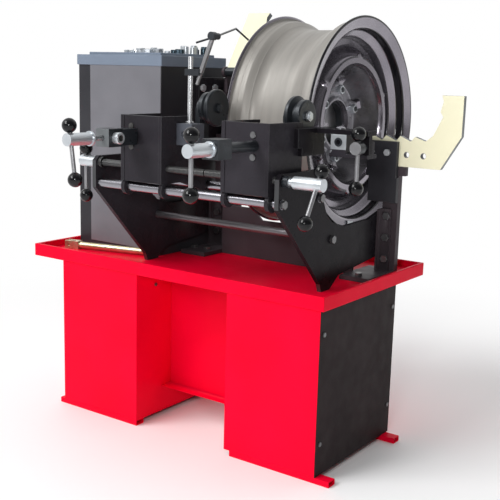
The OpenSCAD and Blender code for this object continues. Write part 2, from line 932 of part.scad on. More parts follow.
// Belt pulley with a rim on each side of the belt
module pulley(r, at, bore) {
    side = 3;
    difference() {
        union() {
            rod_x(pulley_x, pulley_x + pulley_w, at, r);
            for (x0 = [pulley_x, pulley_x + pulley_w - side])
                rod_x(x0, x0 + side, at, r + belt_t / 2);
        }
        rod_x(pulley_x - 1, pulley_x + pulley_w + 1, at, bore);
    }
}

// Section of the rim's barrel: [radius, distance from the left flange]
module barrel_section() {
    w = rim_width;
    lip = 6;
    seat = rim_r - 14;
    well = rim_r - 38;
    bead = rim_r - 35;
    step = rim_r - 56;
    t = rim_wall;
    polygon([
        [rim_r, 0], [rim_r, lip], [seat, lip + 5], [seat - 2, 46], [well + 6, 70], [well, 92],
        [well, w - 88], [well + 10, w - 58], [seat, w - 36], [seat + 2, w - lip - 6],
        [rim_r, w - lip], [rim_r, w], [rim_r - t, w], [bead + 7, w - lip - 1],
        [bead, w - lip - 6], [bead, w - 33], [step, w - 46], [step - 4, w - 70],
        [well - t, w - 84], [well - t, 90], [well + 6 - t, 67], [seat - 2 - t, 43],
        [seat - t, lip + 3], [rim_r - t, 0]
    ]);
}

// Section of the wheel disc: flat hub, cone out to a raised ring, and back to the barrel
module disc_section() {
    hub = rim_width - disc_depth;
    top = rim_width - ring_depth;
    bore = disc_bore_d / 2;
    hub_end = stud_circle / 2 + 22;
    ring_out = ring_d / 2;
    ring_in = ring_out - 14;
    edge = rim_r - 38 - rim_wall / 2;
    foot = top - 38;
    web = 14;
    polygon([
        [bore, hub - disc_t], [hub_end, hub - disc_t], [ring_in - 4, top - web - 4],
        [ring_out - 2, top - web - 4], [ring_out + 30, foot - web], [edge, foot - web], [edge, foot],
        [ring_out + 36, foot], [ring_out, top - 4], [ring_out - 4, top], [ring_in, top],
        [hub_end, hub], [bore, hub]
    ]);
}

// Raised rib along a spoke, from the hub up the cone to the ring
module spoke_rib() {
    half = 11;
    rise = 9;
    hub = rim_width - disc_depth;
    top = rim_width - ring_depth;
    hub_end = stud_circle / 2 + 22;
    ring_in = ring_d / 2 - 14;
    translate([0, half, 0])
        rotate([90, 0, 0])
            linear_extrude(half * 2)
                polygon([[hub_end - 8, hub - 4], [ring_in + 4, top - 4], [ring_in + 4, top],
                         [ring_in - 8, top], [hub_end - 8, hub + rise]]);
}

module wheel_rim() {
    stud_hole = stud_d / 2 + face_gap;
    color([0.62, 0.59, 0.56])
        placed()
            translate([rim_left_x, spindle_y, spindle_z])
                rotate([0, 90, 0])
                    difference() {
                        union() {
                            rotate_extrude($fn = 128)
                                barrel_section();
                            rotate_extrude($fn = 128)
                                disc_section();
                            for (k = [0 : spokes - 1])
                                rotate([0, 0, 180 - wheel_turn + k * 360 / spokes])
                                    spoke_rib();
                        }
                        for (k = [0 : spokes - 1])
                            rotate([0, 0, 180 - wheel_turn + k * 360 / spokes])
                                translate([stud_circle / 2, 0, rim_width - disc_depth - disc_t - 1])
                                    cylinder(h = disc_t + 2, r = stud_hole);
                    }
}

module lug_nuts() {
    across = 22;
    h = 15;
    color([0.82, 0.82, 0.8])
        placed()
            for (k = [0 : spokes - 1])
                translate([disc_face_x, spindle_y, spindle_z])
                    rotate([k * 360 / spokes - wheel_turn, 0, 0])
                        translate([0, 0, stud_circle / 2])
                            rotate([0, 90, 0])
                                difference() {
                                    hex_head(across, h);
                                    translate([0, 0, -1])
                                        cylinder(h = h + 2, r = stud_d / 2 + running_fit);
                                }
}

// Lead screws

module left_lead_screw() {
    end = (left_carriage_x + carriage_w + right_carriage_x) / 2 + 27;
    color([0.75, 0.76, 0.78])
        placed() {
            rod_x(left_plate_x - 5, end - 1, lead_at, screw_r);
            rod_x(left_plate_end + face_gap, left_plate_end + 10, lead_at, screw_r + 5);
            translate([left_plate_x - face_gap, lead_at[0], lead_at[1]])
                rotate([0, -90, 0])
                    hub(hub_len * 0.75, hub_len * 0.75 - bar_inset, 0);
        }
}

module right_lead_screw() {
    start = (left_carriage_x + carriage_w + right_carriage_x) / 2 + 27;
    color([0.75, 0.76, 0.78])
        placed() {
            rod_x(start + 1, right_plate_end + right_lead_gap + 4, lead_at, screw_r);
            rod_x(right_plate_x - 6, right_plate_x - face_gap, lead_at, screw_r + 5);
            rod_x(right_plate_end + face_gap, right_plate_end + 14, lead_at, screw_r + 4);
            translate([right_plate_end + right_lead_gap, lead_at[0], lead_at[1]])
                rotate([-right_lead_tilt, 0, 0])
                    rotate([0, 90, 0])
                        hub(hub_len, hub_len - bar_inset - 4, 0);
        }
}

module left_lead_bar() {
    color([0.1, 0.1, 0.1])
        placed()
            translate([left_plate_x - face_gap - hub_len * 0.75 + bar_inset, lead_at[0], lead_at[1]])
                t_bar();
}

module right_lead_bar() {
    color([0.1, 0.1, 0.1])
        placed()
            translate([right_lead_end - bar_inset - 4, lead_at[0], lead_at[1]])
                rotate([-right_lead_tilt, 0, 0])
                    t_bar();
}

// Carriages

// Outline of a carriage wall in (y, z) with its two lugs; the upper part ends at rear
module wall_outline(rear) {
    polygon([
        [carriage_front, carriage_z], [carriage_front, carriage_top], [rear, carriage_top],
        [rear, carriage_z + 50], [guide_rear[0] + lug_r * 0.6, guide_rear[1] + lug_r * 0.8],
        [guide_rear[0], guide_rear[1] - lug_r * 0.9], [rear - 30, carriage_z]
    ]);
}

module carriage_wall_plate(x0, rear, screw_bore) {
    difference() {
        union() {
            plate_x(x0, carriage_wall)
                wall_outline(rear);
            for (at = [guide_front, guide_rear])
                rod_x(x0, x0 + carriage_wall, at, lug_r);
        }
        for (at = [guide_front, guide_rear])
            rod_x(x0 - 1, x0 + carriage_wall + 1, at, guide_d / 2 + running_fit);
        rod_x(x0 - 1, x0 + carriage_wall + 1, lead_at, screw_bore);
    }
}

// Open-topped carriage: front plate between two lugged walls, and a mid plate that guides the ram
module carriage(x0, ram_x, right_rear, left_bore, right_bore) {
    x1 = x0 + carriage_w;
    difference() {
        union() {
            block([x0 + carriage_wall - 1, carriage_front + plate_inset, carriage_z],
                  [x1 - carriage_wall + 1, carriage_front + plate_inset + carriage_wall, carriage_top]);
            carriage_wall_plate(x0, wall_rear, left_bore);
            carriage_wall_plate(x1 - carriage_wall, right_rear, right_bore);
            block([x0 + carriage_wall - 1, mid_plate_y, carriage_z + 70],
                  [x1 - carriage_wall + 1, mid_plate_y + carriage_wall, carriage_top - 6]);
            block([x0 + carriage_wall - 1, carriage_front + plate_inset + 1, carriage_z],
                  [x1 - carriage_wall + 1, short_wall_rear - 8, carriage_z + carriage_wall]);
        }
        rod_y(carriage_front - 1, short_wall_rear, [ram_x, ram_z], ram_r + running_fit);
        block([ram_x - key_w / 2, mid_plate_y - 1, ram_z - ram_r - 6],
              [ram_x + key_w / 2, mid_plate_y + carriage_wall + 1, ram_z]);
    }
}

module left_carriage() {
    color([0.24, 0.25, 0.27])
        placed()
            carriage(left_carriage_x, left_ram_x, short_wall_rear,
                     screw_r + face_gap, screw_r + running_fit);
}

module right_carriage() {
    color([0.24, 0.25, 0.27])
        placed()
            carriage(right_carriage_x, right_ram_x, wall_rear - 2,
                     screw_r + face_gap, screw_r + running_fit);
}

// Feed nut inside the ram tube, held by a key that stands in the carriage's mid plate
module feed_nut(x) {
    nut_r = ram_r - ram_wall - running_fit;
    difference() {
        union() {
            rod_y(mid_plate_y, mid_plate_y + nut_len, [x, ram_z], nut_r);
            block([x - key_w / 2, mid_plate_y, ram_z - ram_r - 6],
                  [x + key_w / 2, mid_plate_y + carriage_wall, ram_z - feed_r]);
        }
        rod_y(mid_plate_y - 1, mid_plate_y + nut_len + 1, [x, ram_z], feed_r + running_fit);
    }
}

module left_feed_nut() {
    color([0.75, 0.62, 0.3])
        placed()
            feed_nut(left_ram_x);
}

module right_feed_nut() {
    color([0.75, 0.62, 0.3])
        placed()
            feed_nut(right_ram_x);
}

// Ram tube from its block to the crosshead, slotted below for the feed nut's key
module ram_tube(x, start) {
    side = face_gap;
    difference() {
        rod_y(start, crosshead_y + 1, [x, ram_z], ram_r);
        rod_y(start - 1, crosshead_y - 4, [x, ram_z], ram_r - ram_wall);
        block([x - key_w / 2 - side, mid_plate_y - 8, ram_z - ram_r - 1],
              [x + key_w / 2 + side, mid_plate_y + carriage_wall + retract + 6, ram_z]);
    }
}

// Arm that carries a roller's axle
module roller_arm(x0, t, at, foot_z) {
    head = 21;
    difference() {
        union() {
            block([x0, crosshead_y, foot_z], [x0 + t, at[0] + head * 0.6, at[1]]);
            rod_x(x0, x0 + t, at, head);
        }
        rod_x(x0 - 1, x0 + t + 1, at, axle_r + running_fit);
    }
}

module left_ram() {
    arm_x = left_roller_x - roller_w / 2 - face_gap - arm_t;
    low = ram_z - crosshead_h / 2;
    color([0.3, 0.31, 0.33])
        placed() {
            ram_tube(left_ram_x, left_block_y + block_len);
            block([left_ram_x - 27, crosshead_y, low],
                  [arm_x + 1, crosshead_y + crosshead_d, low + crosshead_h]);
            roller_arm(arm_x, arm_t, [left_roller_y, left_roller_z], low);
        }
}

module right_ram() {
    arm_x = right_roller_x - roller_w / 2 - face_gap - arm_t;
    low = ram_z - crosshead_h / 2;
    top = right_roller_z - roller_r - 3;
    color([0.3, 0.31, 0.33])
        placed() {
            ram_tube(right_ram_x, right_block_y + block_len);
            block([right_ram_x - 27, crosshead_y, low],
                  [right_ram_x + 21, crosshead_y + crosshead_d, top]);
            roller_arm(arm_x, arm_t, [right_roller_y, right_roller_z], low);
        }
}

// Square block on the front end of a ram, bored for the feed screw
module ram_block(x, y0) {
    half = block_size / 2;
    difference() {
        block([x - half, y0, ram_z - half], [x + half, y0 + block_len, ram_z + half]);
        rod_y(y0 - 1, y0 + block_len + 1, [x, ram_z], feed_r + running_fit);
    }
}

module left_ram_block() {
    half = neck_size / 2;
    neck_start = left_block_y + block_len;
    neck_end = carriage_front - neck_gap;
    color([0.2, 0.21, 0.23])
        placed() {
            ram_block(left_ram_x, left_block_y);
            difference() {
                block([left_ram_x - half, neck_start, ram_z - half],
                      [left_ram_x + half, neck_end, ram_z + half]);
                rod_y(neck_start - 1, neck_end + 1, [left_ram_x, ram_z], ram_r + running_fit);
            }
        }
}

module right_ram_block() {
    color([0.2, 0.21, 0.23])
        placed()
            ram_block(right_ram_x, right_block_y);
}

// Shoulder bolt through a roller arm, with its head left and its nut right of the roller
module axle(x, at) {
    head_t = 6;
    nut_t = 8;
    arm_x = x - roller_w / 2 - face_gap - arm_t;
    end = x + roller_w / 2 + face_gap;
    rod_x(arm_x - head_t, arm_x, at, axle_r + 4);
    rod_x(arm_x - 1, end + nut_t + 2, at, axle_r);
    head_at([end, at[0], at[1]], [0, 90, 0], axle_d + 6, nut_t);
}

module left_axle() {
    color([0.7, 0.71, 0.73])
        placed()
            axle(left_roller_x, [left_roller_y, left_roller_z]);
}

module right_axle() {
    color([0.7, 0.71, 0.73])
        placed()
            axle(right_roller_x, [right_roller_y, right_roller_z]);
}

// Grooved roller centred on x; its larger flange is on the +X side (1) or the -X side (-1)
module roller(x, at, large_side) {
    small_r = small_flange_d / 2;
    bore = axle_r + running_fit;
    edge = 3;
    translate([x + large_side * roller_w / 2, at[0], at[1]])
        rotate([0, -90 * large_side, 0])
            rotate_extrude($fn = 96)
                polygon([
                    [bore, 0], [roller_r - edge, 0], [roller_r, edge], [roller_r, roller_w * 0.28],
                    [small_r - groove, roller_w * 0.4], [small_r - groove, roller_w * 0.55],
                    [small_r, roller_w * 0.65], [small_r, roller_w - edge],
                    [small_r - edge, roller_w], [bore, roller_w]
                ]);
}

module left_roller() {
    color([0.18, 0.19, 0.2])
        placed()
            roller(left_roller_x, [left_roller_y, left_roller_z], 1);
}

module right_roller() {
    color([0.18, 0.19, 0.2])
        placed()
            roller(right_roller_x, [right_roller_y, right_roller_z], -1);
}

// Feed screw inside a ram, with its hub and collar in front
module feed_screw(x, front, tilt) {
    rod_y(front + hub_len - 1, mid_plate_y + nut_len + 6, [x, ram_z], feed_r);
    rod_y(front + hub_len - collar_t, front + hub_len, [x, ram_z], collar_d / 2);
    translate([x, front, ram_z])
        rotate([0, tilt, 0])
            rotate([-90, 0, 0])
                hub(hub_len, bar_inset, 90);
}

module left_feed_screw() {
    color([0.75, 0.76, 0.78])
        placed()
            feed_screw(left_ram_x, left_feed_front, -left_feed_tilt);
}

module right_feed_screw() {
    color([0.75, 0.76, 0.78])
        placed()
            feed_screw(right_ram_x, right_feed_front, 0);
}

module left_feed_bar() {
    color([0.1, 0.1, 0.1])
        placed()
            translate([left_ram_x, left_feed_front + bar_inset, ram_z])
                rotate([0, -left_feed_tilt, 0])
                    t_bar();
}

module right_feed_bar() {
    color([0.1, 0.1, 0.1])
        placed()
            translate([right_ram_x, right_feed_front + bar_inset, ram_z])
                t_bar();
}

// Side head on the right carriage

module side_bracket() {
    notch = [18, 20];
    color([0.15, 0.16, 0.16])
        placed()
            difference() {
                union() {
                    block([side_x, 0, side_z], [side_x + side_t, side_y + side_d - 2, side_top]);
                    block([side_x + side_t - 1, side_y, side_top - side_t],
                          [nut_block_x + nut_block_w, side_y + side_d, side_top]);
                    block([nut_block_x, nut_block_y, side_z + 9],
                          [nut_block_x + nut_block_w, nut_block_y + nut_block_d, side_top - 1]);
                }
                rod_y(side_y, side_y + side_d + 1, [side_axis_x, side_axis_z],
                      side_screw_r + running_fit);
                block([side_x - 1, -1, side_z - 1],
                      [side_x + side_t + 1, notch[0], side_z + notch[1]]);
            }
}

module side_pad() {
    under = side_top - side_t - face_gap;
    pad_x = side_x + side_t + pad_gap;
    rear = side_y + side_d + 6;
    tail_y = nut_block_y + nut_block_d + face_gap;
    tail_d = 12;
    color([0.78, 0.8, 0.82])
        placed()
            difference() {
                union() {
                    block([pad_x, side_y, side_z + 8], [pad_x + pad_w, rear, under]);
                    block([pad_x - 3, side_y, side_z],
                          [nut_block_x + nut_block_w, rear, side_z + 9 - face_gap]);
                    block([nut_block_x, tail_y, side_z],
                          [nut_block_x + nut_block_w, tail_y + tail_d, side_axis_z + 14]);
                }
                rod_y(side_y - 1, side_y + 14, [pad_x + pad_w / 2, side_top - 30], 6);
                rod_y(side_y, rear + 1, [side_axis_x, side_axis_z], side_screw_r + running_fit);
            }
}

module side_screw() {
    color([0.75, 0.76, 0.78])
        placed() {
            rod_y(side_hub_y + side_hub_len - 1, nut_block_y + nut_block_d + 10, [side_axis_x, side_axis_z],
                  side_screw_r);
            translate([side_axis_x, side_hub_y, side_axis_z])
                rotate([-90, 0, 0])
                    hub(side_hub_len, side_hub_len / 2, 90);
        }
}

module side_bar() {
    color([0.1, 0.1, 0.1])
        placed()
            translate([side_axis_x, side_hub_y + side_hub_len / 2, side_axis_z])
                t_bar();
}

// Gauge on the left carriage

module gauge_base() {
    color([0.3, 0.32, 0.36])
        placed()
            translate([gauge_x, gauge_y, gauge_z])
                difference() {
                    cube(gauge_size);
                    translate([gauge_size[0] / 2, -1, gauge_size[2] / 2])
                        rotate([-90, 0, 0])
                            cylinder(h = 5, r = 9);
                }
}

module gauge_post() {
    base_top = gauge_z + gauge_size[2];
    color([0.85, 0.86, 0.88])
        placed()
            translate([gauge_post_at[0], gauge_post_at[1], base_top]) {
                cylinder(h = gauge_post_h, r = gauge_post_d / 2);
                cylinder(h = 6, r = gauge_post_d / 2 + 4);
            }
}

// Rod between two points, straight
module strut(a, b, r) {
    d = b - a;
    len = norm(d);
    translate(a)
        rotate([0, acos(d[2] / len), atan2(d[1], d[0])])
            cylinder(h = len, r = r);
}

// Arm that stands beside the post, held by a clamp on the post, with the pointer's swivel on top
module gauge_arm() {
    rod_r = 6;
    tip_r = 4.5;
    half = clamp_block / 2;
    share = (gauge_arm_z - arm_foot[2]) / (arm_tip[2] - arm_foot[2]);
    crossing = arm_foot + (arm_tip - arm_foot) * share;
    color([0.1, 0.1, 0.11])
        placed()
            difference() {
                union() {
                    translate([gauge_post_at[0] - half[0], gauge_post_at[1] - half[1], gauge_arm_z - half[2]])
                        cube([crossing[0] - gauge_post_at[0] + half[0], clamp_block[1], clamp_block[2]]);
                    strut(arm_foot, crossing, tip_r);
                    strut(crossing, arm_tip, rod_r);
                    rod_y(arm_tip[1] - 8, arm_tip[1] + 8, [arm_tip[0], arm_tip[2] + 4], swivel_r);
                }
                translate([gauge_post_at[0], gauge_post_at[1], gauge_arm_z - 40])
                    cylinder(h = 80, r = gauge_post_d / 2 + running_fit);
            }
}

module gauge_pointer() {
    r = 2.5;
    y = swivel_at[1];
    tail = [swivel_at[0] - 62, y, swivel_at[2] - 15];
    bend = [rim_left_x + 6, 160, gauge_post_top + 76];
    reach = rim_r + 5;
    tip_angle = 132.5;
    tip = [rim_left_x + 6, spindle_y + reach * cos(tip_angle), spindle_z + reach * sin(tip_angle)];
    color([0.1, 0.1, 0.11])
        placed() {
            strut(tail, swivel_at, r);
            strut(swivel_at, bend + (bend - swivel_at) * 0.01, r);
            strut(bend, tip, r);
            rod_y(arm_tip[1] + 8 + face_gap, y + 7, [swivel_at[0], swivel_at[2]], swivel_r - 2);
        }
}

tray_top();
left_pedestal();
right_pedestal();
right_side_panel();
kneehole_panel();
foot_tubes();
cabinet_case();
cabinet_front();
cabinet_lid();
drive_motor();
drive_belt();
bearing_housing();
spindle_bearings();
spindle_plate();
left_side_plate();
right_side_plate();
left_post();
right_post();
cross_panel();
guide_shafts();
tie_rod();
frame_bolts();
front_hook();
hook_clamp();
lever_bar();
spindle_shaft();
spindle_pulley();
wheel_rim();
lug_nuts();
motor_pulley();
left_lead_screw();
right_lead_screw();
left_lead_bar();
right_lead_bar();
left_carriage();
right_carriage();
left_feed_nut();
right_feed_nut();
left_ram();
right_ram();
left_ram_block();
right_ram_block();
left_axle();
right_axle();
left_roller();
right_roller();
left_feed_screw();
right_feed_screw();
left_feed_bar();
right_feed_bar();
side_bracket();
side_pad();
side_screw();
side_bar();
gauge_base();
gauge_post();
gauge_arm();
gauge_pointer();
rear_hook();
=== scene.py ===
import json
import math

import bmesh
import bpy
from mathutils import Matrix, Vector


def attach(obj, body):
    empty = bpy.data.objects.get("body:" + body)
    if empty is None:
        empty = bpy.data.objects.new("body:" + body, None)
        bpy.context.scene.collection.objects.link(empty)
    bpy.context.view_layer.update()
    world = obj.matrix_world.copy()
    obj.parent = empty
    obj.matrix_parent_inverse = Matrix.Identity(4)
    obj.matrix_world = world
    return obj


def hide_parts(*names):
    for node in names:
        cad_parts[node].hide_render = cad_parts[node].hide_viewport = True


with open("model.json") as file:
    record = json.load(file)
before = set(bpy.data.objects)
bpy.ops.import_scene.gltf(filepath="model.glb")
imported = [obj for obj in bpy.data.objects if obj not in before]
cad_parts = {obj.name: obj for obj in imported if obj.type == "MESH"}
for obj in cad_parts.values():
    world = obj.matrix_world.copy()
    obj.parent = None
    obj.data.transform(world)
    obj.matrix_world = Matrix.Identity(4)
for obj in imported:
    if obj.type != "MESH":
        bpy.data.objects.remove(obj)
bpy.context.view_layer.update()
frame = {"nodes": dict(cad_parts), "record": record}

# Middle of the whole machine in tray coordinates, in mm: the row frame's origin
MIDDLE = (570.0, 181.1)


def mm(x, y, z):
    """A point in tray coordinates (mm, front left corner on the floor) in the row frame."""
    return Vector(((x - MIDDLE[0]) / 1000, (y - MIDDLE[1]) / 1000, z / 1000))


def tray(point):
    """A point in the row frame in tray coordinates, in mm."""
    return Vector((point.x * 1000 + MIDDLE[0], point.y * 1000 + MIDDLE[1], point.z * 1000))


# Materials: every one has procedural variation in colour, roughness and relief


def link(tree, out_node, out_name, in_node, in_name):
    tree.links.new(out_node.outputs[out_name], in_node.inputs[in_name])


def noise(tree, coords, scale, detail, stretch):
    """A noise texture, drawn out along an axis where its factor in stretch is small."""
    mapping = tree.nodes.new("ShaderNodeMapping")
    mapping.inputs["Scale"].default_value = stretch
    tree.links.new(coords, mapping.inputs["Vector"])
    tex = tree.nodes.new("ShaderNodeTexNoise")
    tex.inputs["Scale"].default_value = scale
    tex.inputs["Detail"].default_value = detail
    link(tree, mapping, "Vector", tex, "Vector")
    return tex


# Most of a texture's values lie between these
TEXTURE_LOW, TEXTURE_HIGH = 0.3, 0.7


def ramp(tree, source, dark, light):
    """A colour that runs between two tones with a texture."""
    node = tree.nodes.new("ShaderNodeValToRGB")
    tree.links.new(source.outputs["Fac"], node.inputs["Fac"])
    stops = ((TEXTURE_LOW, dark), (TEXTURE_HIGH, light))
    for element, (place, colour) in zip(node.color_ramp.elements, stops):
        element.position = place
        element.color = (*colour, 1)
    return node


def span(tree, source, low, high):
    """A value that runs between two ends with a texture."""
    node = tree.nodes.new("ShaderNodeMapRange")
    node.inputs["From Min"].default_value = TEXTURE_LOW
    node.inputs["From Max"].default_value = TEXTURE_HIGH
    node.inputs["To Min"].default_value = low
    node.inputs["To Max"].default_value = high
    tree.links.new(source.outputs["Fac"], node.inputs["Value"])
    return node


# Thread pitch in metres, and the wave texture's bands in 2 pi metres at scale 1
PITCH, WAVE_BANDS = 0.004, 20


def bands(tree, coords, axis):
    """Thread ridges along an axis, one for each turn of the screw."""
    tex = tree.nodes.new("ShaderNodeTexWave")
    tex.bands_direction = axis
    tex.inputs["Scale"].default_value = 2 * math.pi / (WAVE_BANDS * PITCH)
    tree.links.new(coords, tex.inputs["Vector"])
    return tex


# Gloss varies in patches this much finer than the tone's
PATCHES = 3.1


def finish_of(name, dark, light, rough, metal=0.0, scale=14.0, grain=500.0, relief=0.02,
              stretch=(1, 1, 1), coat=0.0, specular=0.5, depth=0.0005, thread=None):
    """A surface whose colour runs between two tones, with uneven gloss and a fine relief."""
    mat = bpy.data.materials.new(name)
    mat.use_nodes = True
    tree = mat.node_tree
    shader = tree.nodes["Principled BSDF"]
    coords = tree.nodes.new("ShaderNodeTexCoord").outputs["Object"]
    # With a thread, the tone runs with the ridges, dark in the grooves and light on the crests:
    # painted shade and highlight
    broad = bands(tree, coords, thread) if thread else noise(tree, coords, scale, 5.0, stretch)
    tone = ramp(tree, broad, dark, light)
    link(tree, tone, "Color", shader, "Base Color")
    patches = noise(tree, coords, scale * PATCHES, 3.0, stretch)
    link(tree, span(tree, patches, *rough), "Result", shader, "Roughness")
    fine = broad if thread else noise(tree, coords, grain, 2.0, stretch)
    bump = tree.nodes.new("ShaderNodeBump")
    bump.inputs["Strength"].default_value = relief
    bump.inputs["Distance"].default_value = depth
    tree.links.new(fine.outputs["Fac"], bump.inputs["Height"])
    link(tree, bump, "Normal", shader, "Normal")
    shader.inputs["Metallic"].default_value = metal
    shader.inputs["Coat Weight"].default_value = coat
    shader.inputs["Specular IOR Level"].default_value = specular
    return mat


LOOK = {
    "red_paint": finish_of("red_paint", (0.809, 0.0007, 0.024), (0.904, 0.0014, 0.032),
                           (0.30, 0.40), scale=5, grain=420, relief=0.05, specular=0.04),
    "black_paint": finish_of("black_paint", (0.022, 0.020, 0.024), (0.032, 0.029, 0.035),
                             (0.22, 0.32), scale=9, grain=900, relief=0.05, specular=0.08),
    "case_paint": finish_of("case_paint", (0.029, 0.029, 0.034), (0.040, 0.040, 0.046),
                            (0.30, 0.40), scale=9, grain=900, relief=0.05, specular=0.16),
    # A darker copy of the black paint, for black parts seen in shade: painted shade
    "painted_shade_black": finish_of("painted_shade_black", (0.009, 0.008, 0.010), (0.014, 0.012, 0.015),
                            (0.24, 0.34), scale=9, grain=900, relief=0.05, specular=0.06),
    "panel_paint": finish_of("panel_paint", (0.018, 0.011, 0.012), (0.027, 0.018, 0.019),
                             (0.50, 0.62), scale=9, grain=900, relief=0.2, specular=0.12),
    "dark_panel": finish_of("dark_panel", (0.048, 0.037, 0.043), (0.067, 0.053, 0.061),
                            (0.40, 0.52), scale=9, grain=900, relief=0.1, specular=0.2),
    # A lighter grey for the broken edges of black parts: a painted highlight
    "painted_edge_highlight": finish_of("painted_edge_highlight", (0.028, 0.029, 0.032), (0.048, 0.049, 0.053),
                            (0.28, 0.38), scale=12, grain=900, relief=0.03),
    "grey_paint": finish_of("grey_paint", (0.144, 0.144, 0.163), (0.175, 0.175, 0.195),
                            (0.46, 0.56), scale=8, grain=1100, relief=0.15),
    "lid_paint": finish_of("lid_paint", (0.172, 0.210, 0.272), (0.204, 0.248, 0.318),
                           (0.40, 0.50), scale=8, grain=1100, relief=0.15, specular=0.15),
    "cream_paint": finish_of("cream_paint", (0.86, 0.83, 0.60), (0.90, 0.87, 0.64),
                             (0.38, 0.5), scale=11, grain=700, relief=0.1),
    "chrome": finish_of("chrome", (0.29, 0.285, 0.315), (0.35, 0.345, 0.375), (0.20, 0.26),
                        metal=1.0, scale=30, grain=120, relief=0.0005, stretch=(0.2, 1, 1)),
    "bright_chrome": finish_of("bright_chrome", (0.60, 0.61, 0.63), (0.68, 0.69, 0.71),
                               (0.22, 0.28), metal=0.8, scale=30, grain=120, relief=0.0005),
    "steel": finish_of("steel", (0.26, 0.26, 0.27), (0.36, 0.355, 0.36), (0.28, 0.38),
                       metal=0.9, scale=25, grain=600, relief=0.02, stretch=(0.15, 1, 1)),
    "drawn_steel": finish_of("drawn_steel", (0.15, 0.14, 0.15), (0.22, 0.21, 0.22),
                             (0.36, 0.46), metal=0.8, scale=25, grain=600, relief=0.02,
                             stretch=(0.15, 1, 1)),
    # Threads, their grooves dark and their crests light: painted shade and highlight
    "screw_steel": finish_of("screw_steel", (0.030, 0.030, 0.032), (0.15, 0.15, 0.15),
                             (0.30, 0.40), metal=0.8, relief=0.7, depth=0.001, thread="X"),
    "zinc": finish_of("zinc", (0.560, 0.594, 0.627), (0.672, 0.706, 0.739), (0.30, 0.36),
                      metal=0.75, scale=26, grain=700, relief=0.006),
    "zinc_thread": finish_of("zinc_thread", (0.12, 0.125, 0.13), (0.50, 0.52, 0.54),
                             (0.24, 0.32), metal=0.85, relief=0.7, depth=0.001, thread="Y"),
    "dull_zinc": finish_of("dull_zinc", (0.241, 0.241, 0.253), (0.333, 0.333, 0.345), (0.34, 0.46),
                           metal=0.7, scale=26, grain=600, relief=0.02),
    "bolt_grey": finish_of("bolt_grey", (0.132, 0.132, 0.138), (0.220, 0.220, 0.226), (0.30, 0.42),
                           metal=0.8, scale=40, grain=600, relief=0.03),
    "block_grey": finish_of("block_grey", (0.125, 0.135, 0.142), (0.165, 0.178, 0.186),
                            (0.36, 0.46), metal=0.2, scale=18, grain=800, relief=0.06),
    "dull_bolt": finish_of("dull_bolt", (0.055, 0.054, 0.053), (0.090, 0.088, 0.086),
                           (0.36, 0.46), metal=0.5, scale=40, grain=600, relief=0.03),
    "bright_bolt": finish_of("bright_bolt", (0.62, 0.65, 0.68), (0.74, 0.77, 0.80), (0.26, 0.36),
                             metal=0.4, scale=40, grain=600, relief=0.01),
    "black_steel": finish_of("black_steel", (0.019, 0.022, 0.026), (0.036, 0.041, 0.048),
                             (0.26, 0.38), metal=0.4, scale=16, grain=800, relief=0.05),
    "black_plastic": finish_of("black_plastic", (0.004, 0.004, 0.005), (0.007, 0.007, 0.008),
                               (0.10, 0.15), scale=20, grain=260, relief=0.003, specular=0.32),
    "magnet_grey": finish_of("magnet_grey", (0.066, 0.072, 0.090), (0.096, 0.104, 0.126),
                             (0.38, 0.5), scale=18, grain=900, relief=0.12),
    "iron": finish_of("iron", (0.06, 0.065, 0.07), (0.11, 0.115, 0.12), (0.42, 0.6),
                      metal=0.3, scale=20, grain=500, relief=0.3),
    "bronze": finish_of("bronze", (0.42, 0.27, 0.09), (0.55, 0.37, 0.14), (0.28, 0.42),
                        metal=1.0, scale=22, grain=500, relief=0.03),
    "belt_rubber": finish_of("belt_rubber", (0.012, 0.012, 0.012), (0.022, 0.022, 0.022),
                             (0.6, 0.75), scale=26, grain=700, relief=0.3),
    "rim_alloy": finish_of("rim_alloy", (0.255, 0.243, 0.224), (0.335, 0.317, 0.292), (0.40, 0.52),
                           metal=0.25, scale=6, grain=600, relief=0.015, stretch=(7, 0.7, 0.7)),
    "rim_gloss": finish_of("rim_gloss", (0.220, 0.204, 0.237), (0.297, 0.275, 0.314),
                           (0.16, 0.24), metal=0.8, scale=9, grain=500, relief=0.008, coat=0.3),
    # Near black for the rim's dark bands: painted reflection and shade
    "rim_painted_dark": finish_of("rim_painted_dark", (0.006, 0.006, 0.008), (0.012, 0.011, 0.014),
                           (0.12, 0.20), scale=14, grain=500, relief=0.01),
    "rim_pocket": finish_of("rim_pocket", (0.055, 0.053, 0.062), (0.094, 0.089, 0.101),
                            (0.22, 0.34), metal=0.6, scale=14, grain=500, relief=0.03),
    "rim_cast": finish_of("rim_cast", (0.30, 0.295, 0.325), (0.40, 0.39, 0.43), (0.24, 0.34),
                          metal=0.25, scale=14, grain=500, relief=0.03),
    "cut_steel": finish_of("cut_steel", (0.12, 0.13, 0.14), (0.22, 0.235, 0.24), (0.36, 0.48),
                           metal=0.7, scale=60, grain=900, relief=0.1, stretch=(1, 1, 0.2)),
    "blue_steel": finish_of("blue_steel", (0.03, 0.05, 0.065), (0.08, 0.12, 0.15), (0.24, 0.36),
                            metal=0.8, scale=60, grain=700, relief=0.03),
    "yellow_zinc": finish_of("yellow_zinc", (0.52, 0.45, 0.27), (0.74, 0.68, 0.48),
                             (0.26, 0.4), metal=0.9, scale=30, grain=500, relief=0.03),
}


# Geometry helpers

# Angles in degrees: an edge shaded sharp, a corner that is broken, facets that are one flat face
SHARP, CORNER, FLAT = 38, 32, 0.4
# Distances in metres within which points are one
WELD, CLOSE = 2e-6, 1e-6
# A radius in mm below which a point lies on the axis
ON_AXIS = 1e-6


def finish_mesh(obj, sharp):
    """Smooth shading with sharp edges kept, flat faces staying flat."""
    obj.data.shade_smooth()
    obj.data.set_sharp_from_angle(angle=math.radians(sharp))
    weighted = obj.modifiers.new("weighted", "WEIGHTED_NORMAL")
    weighted.keep_sharp = True


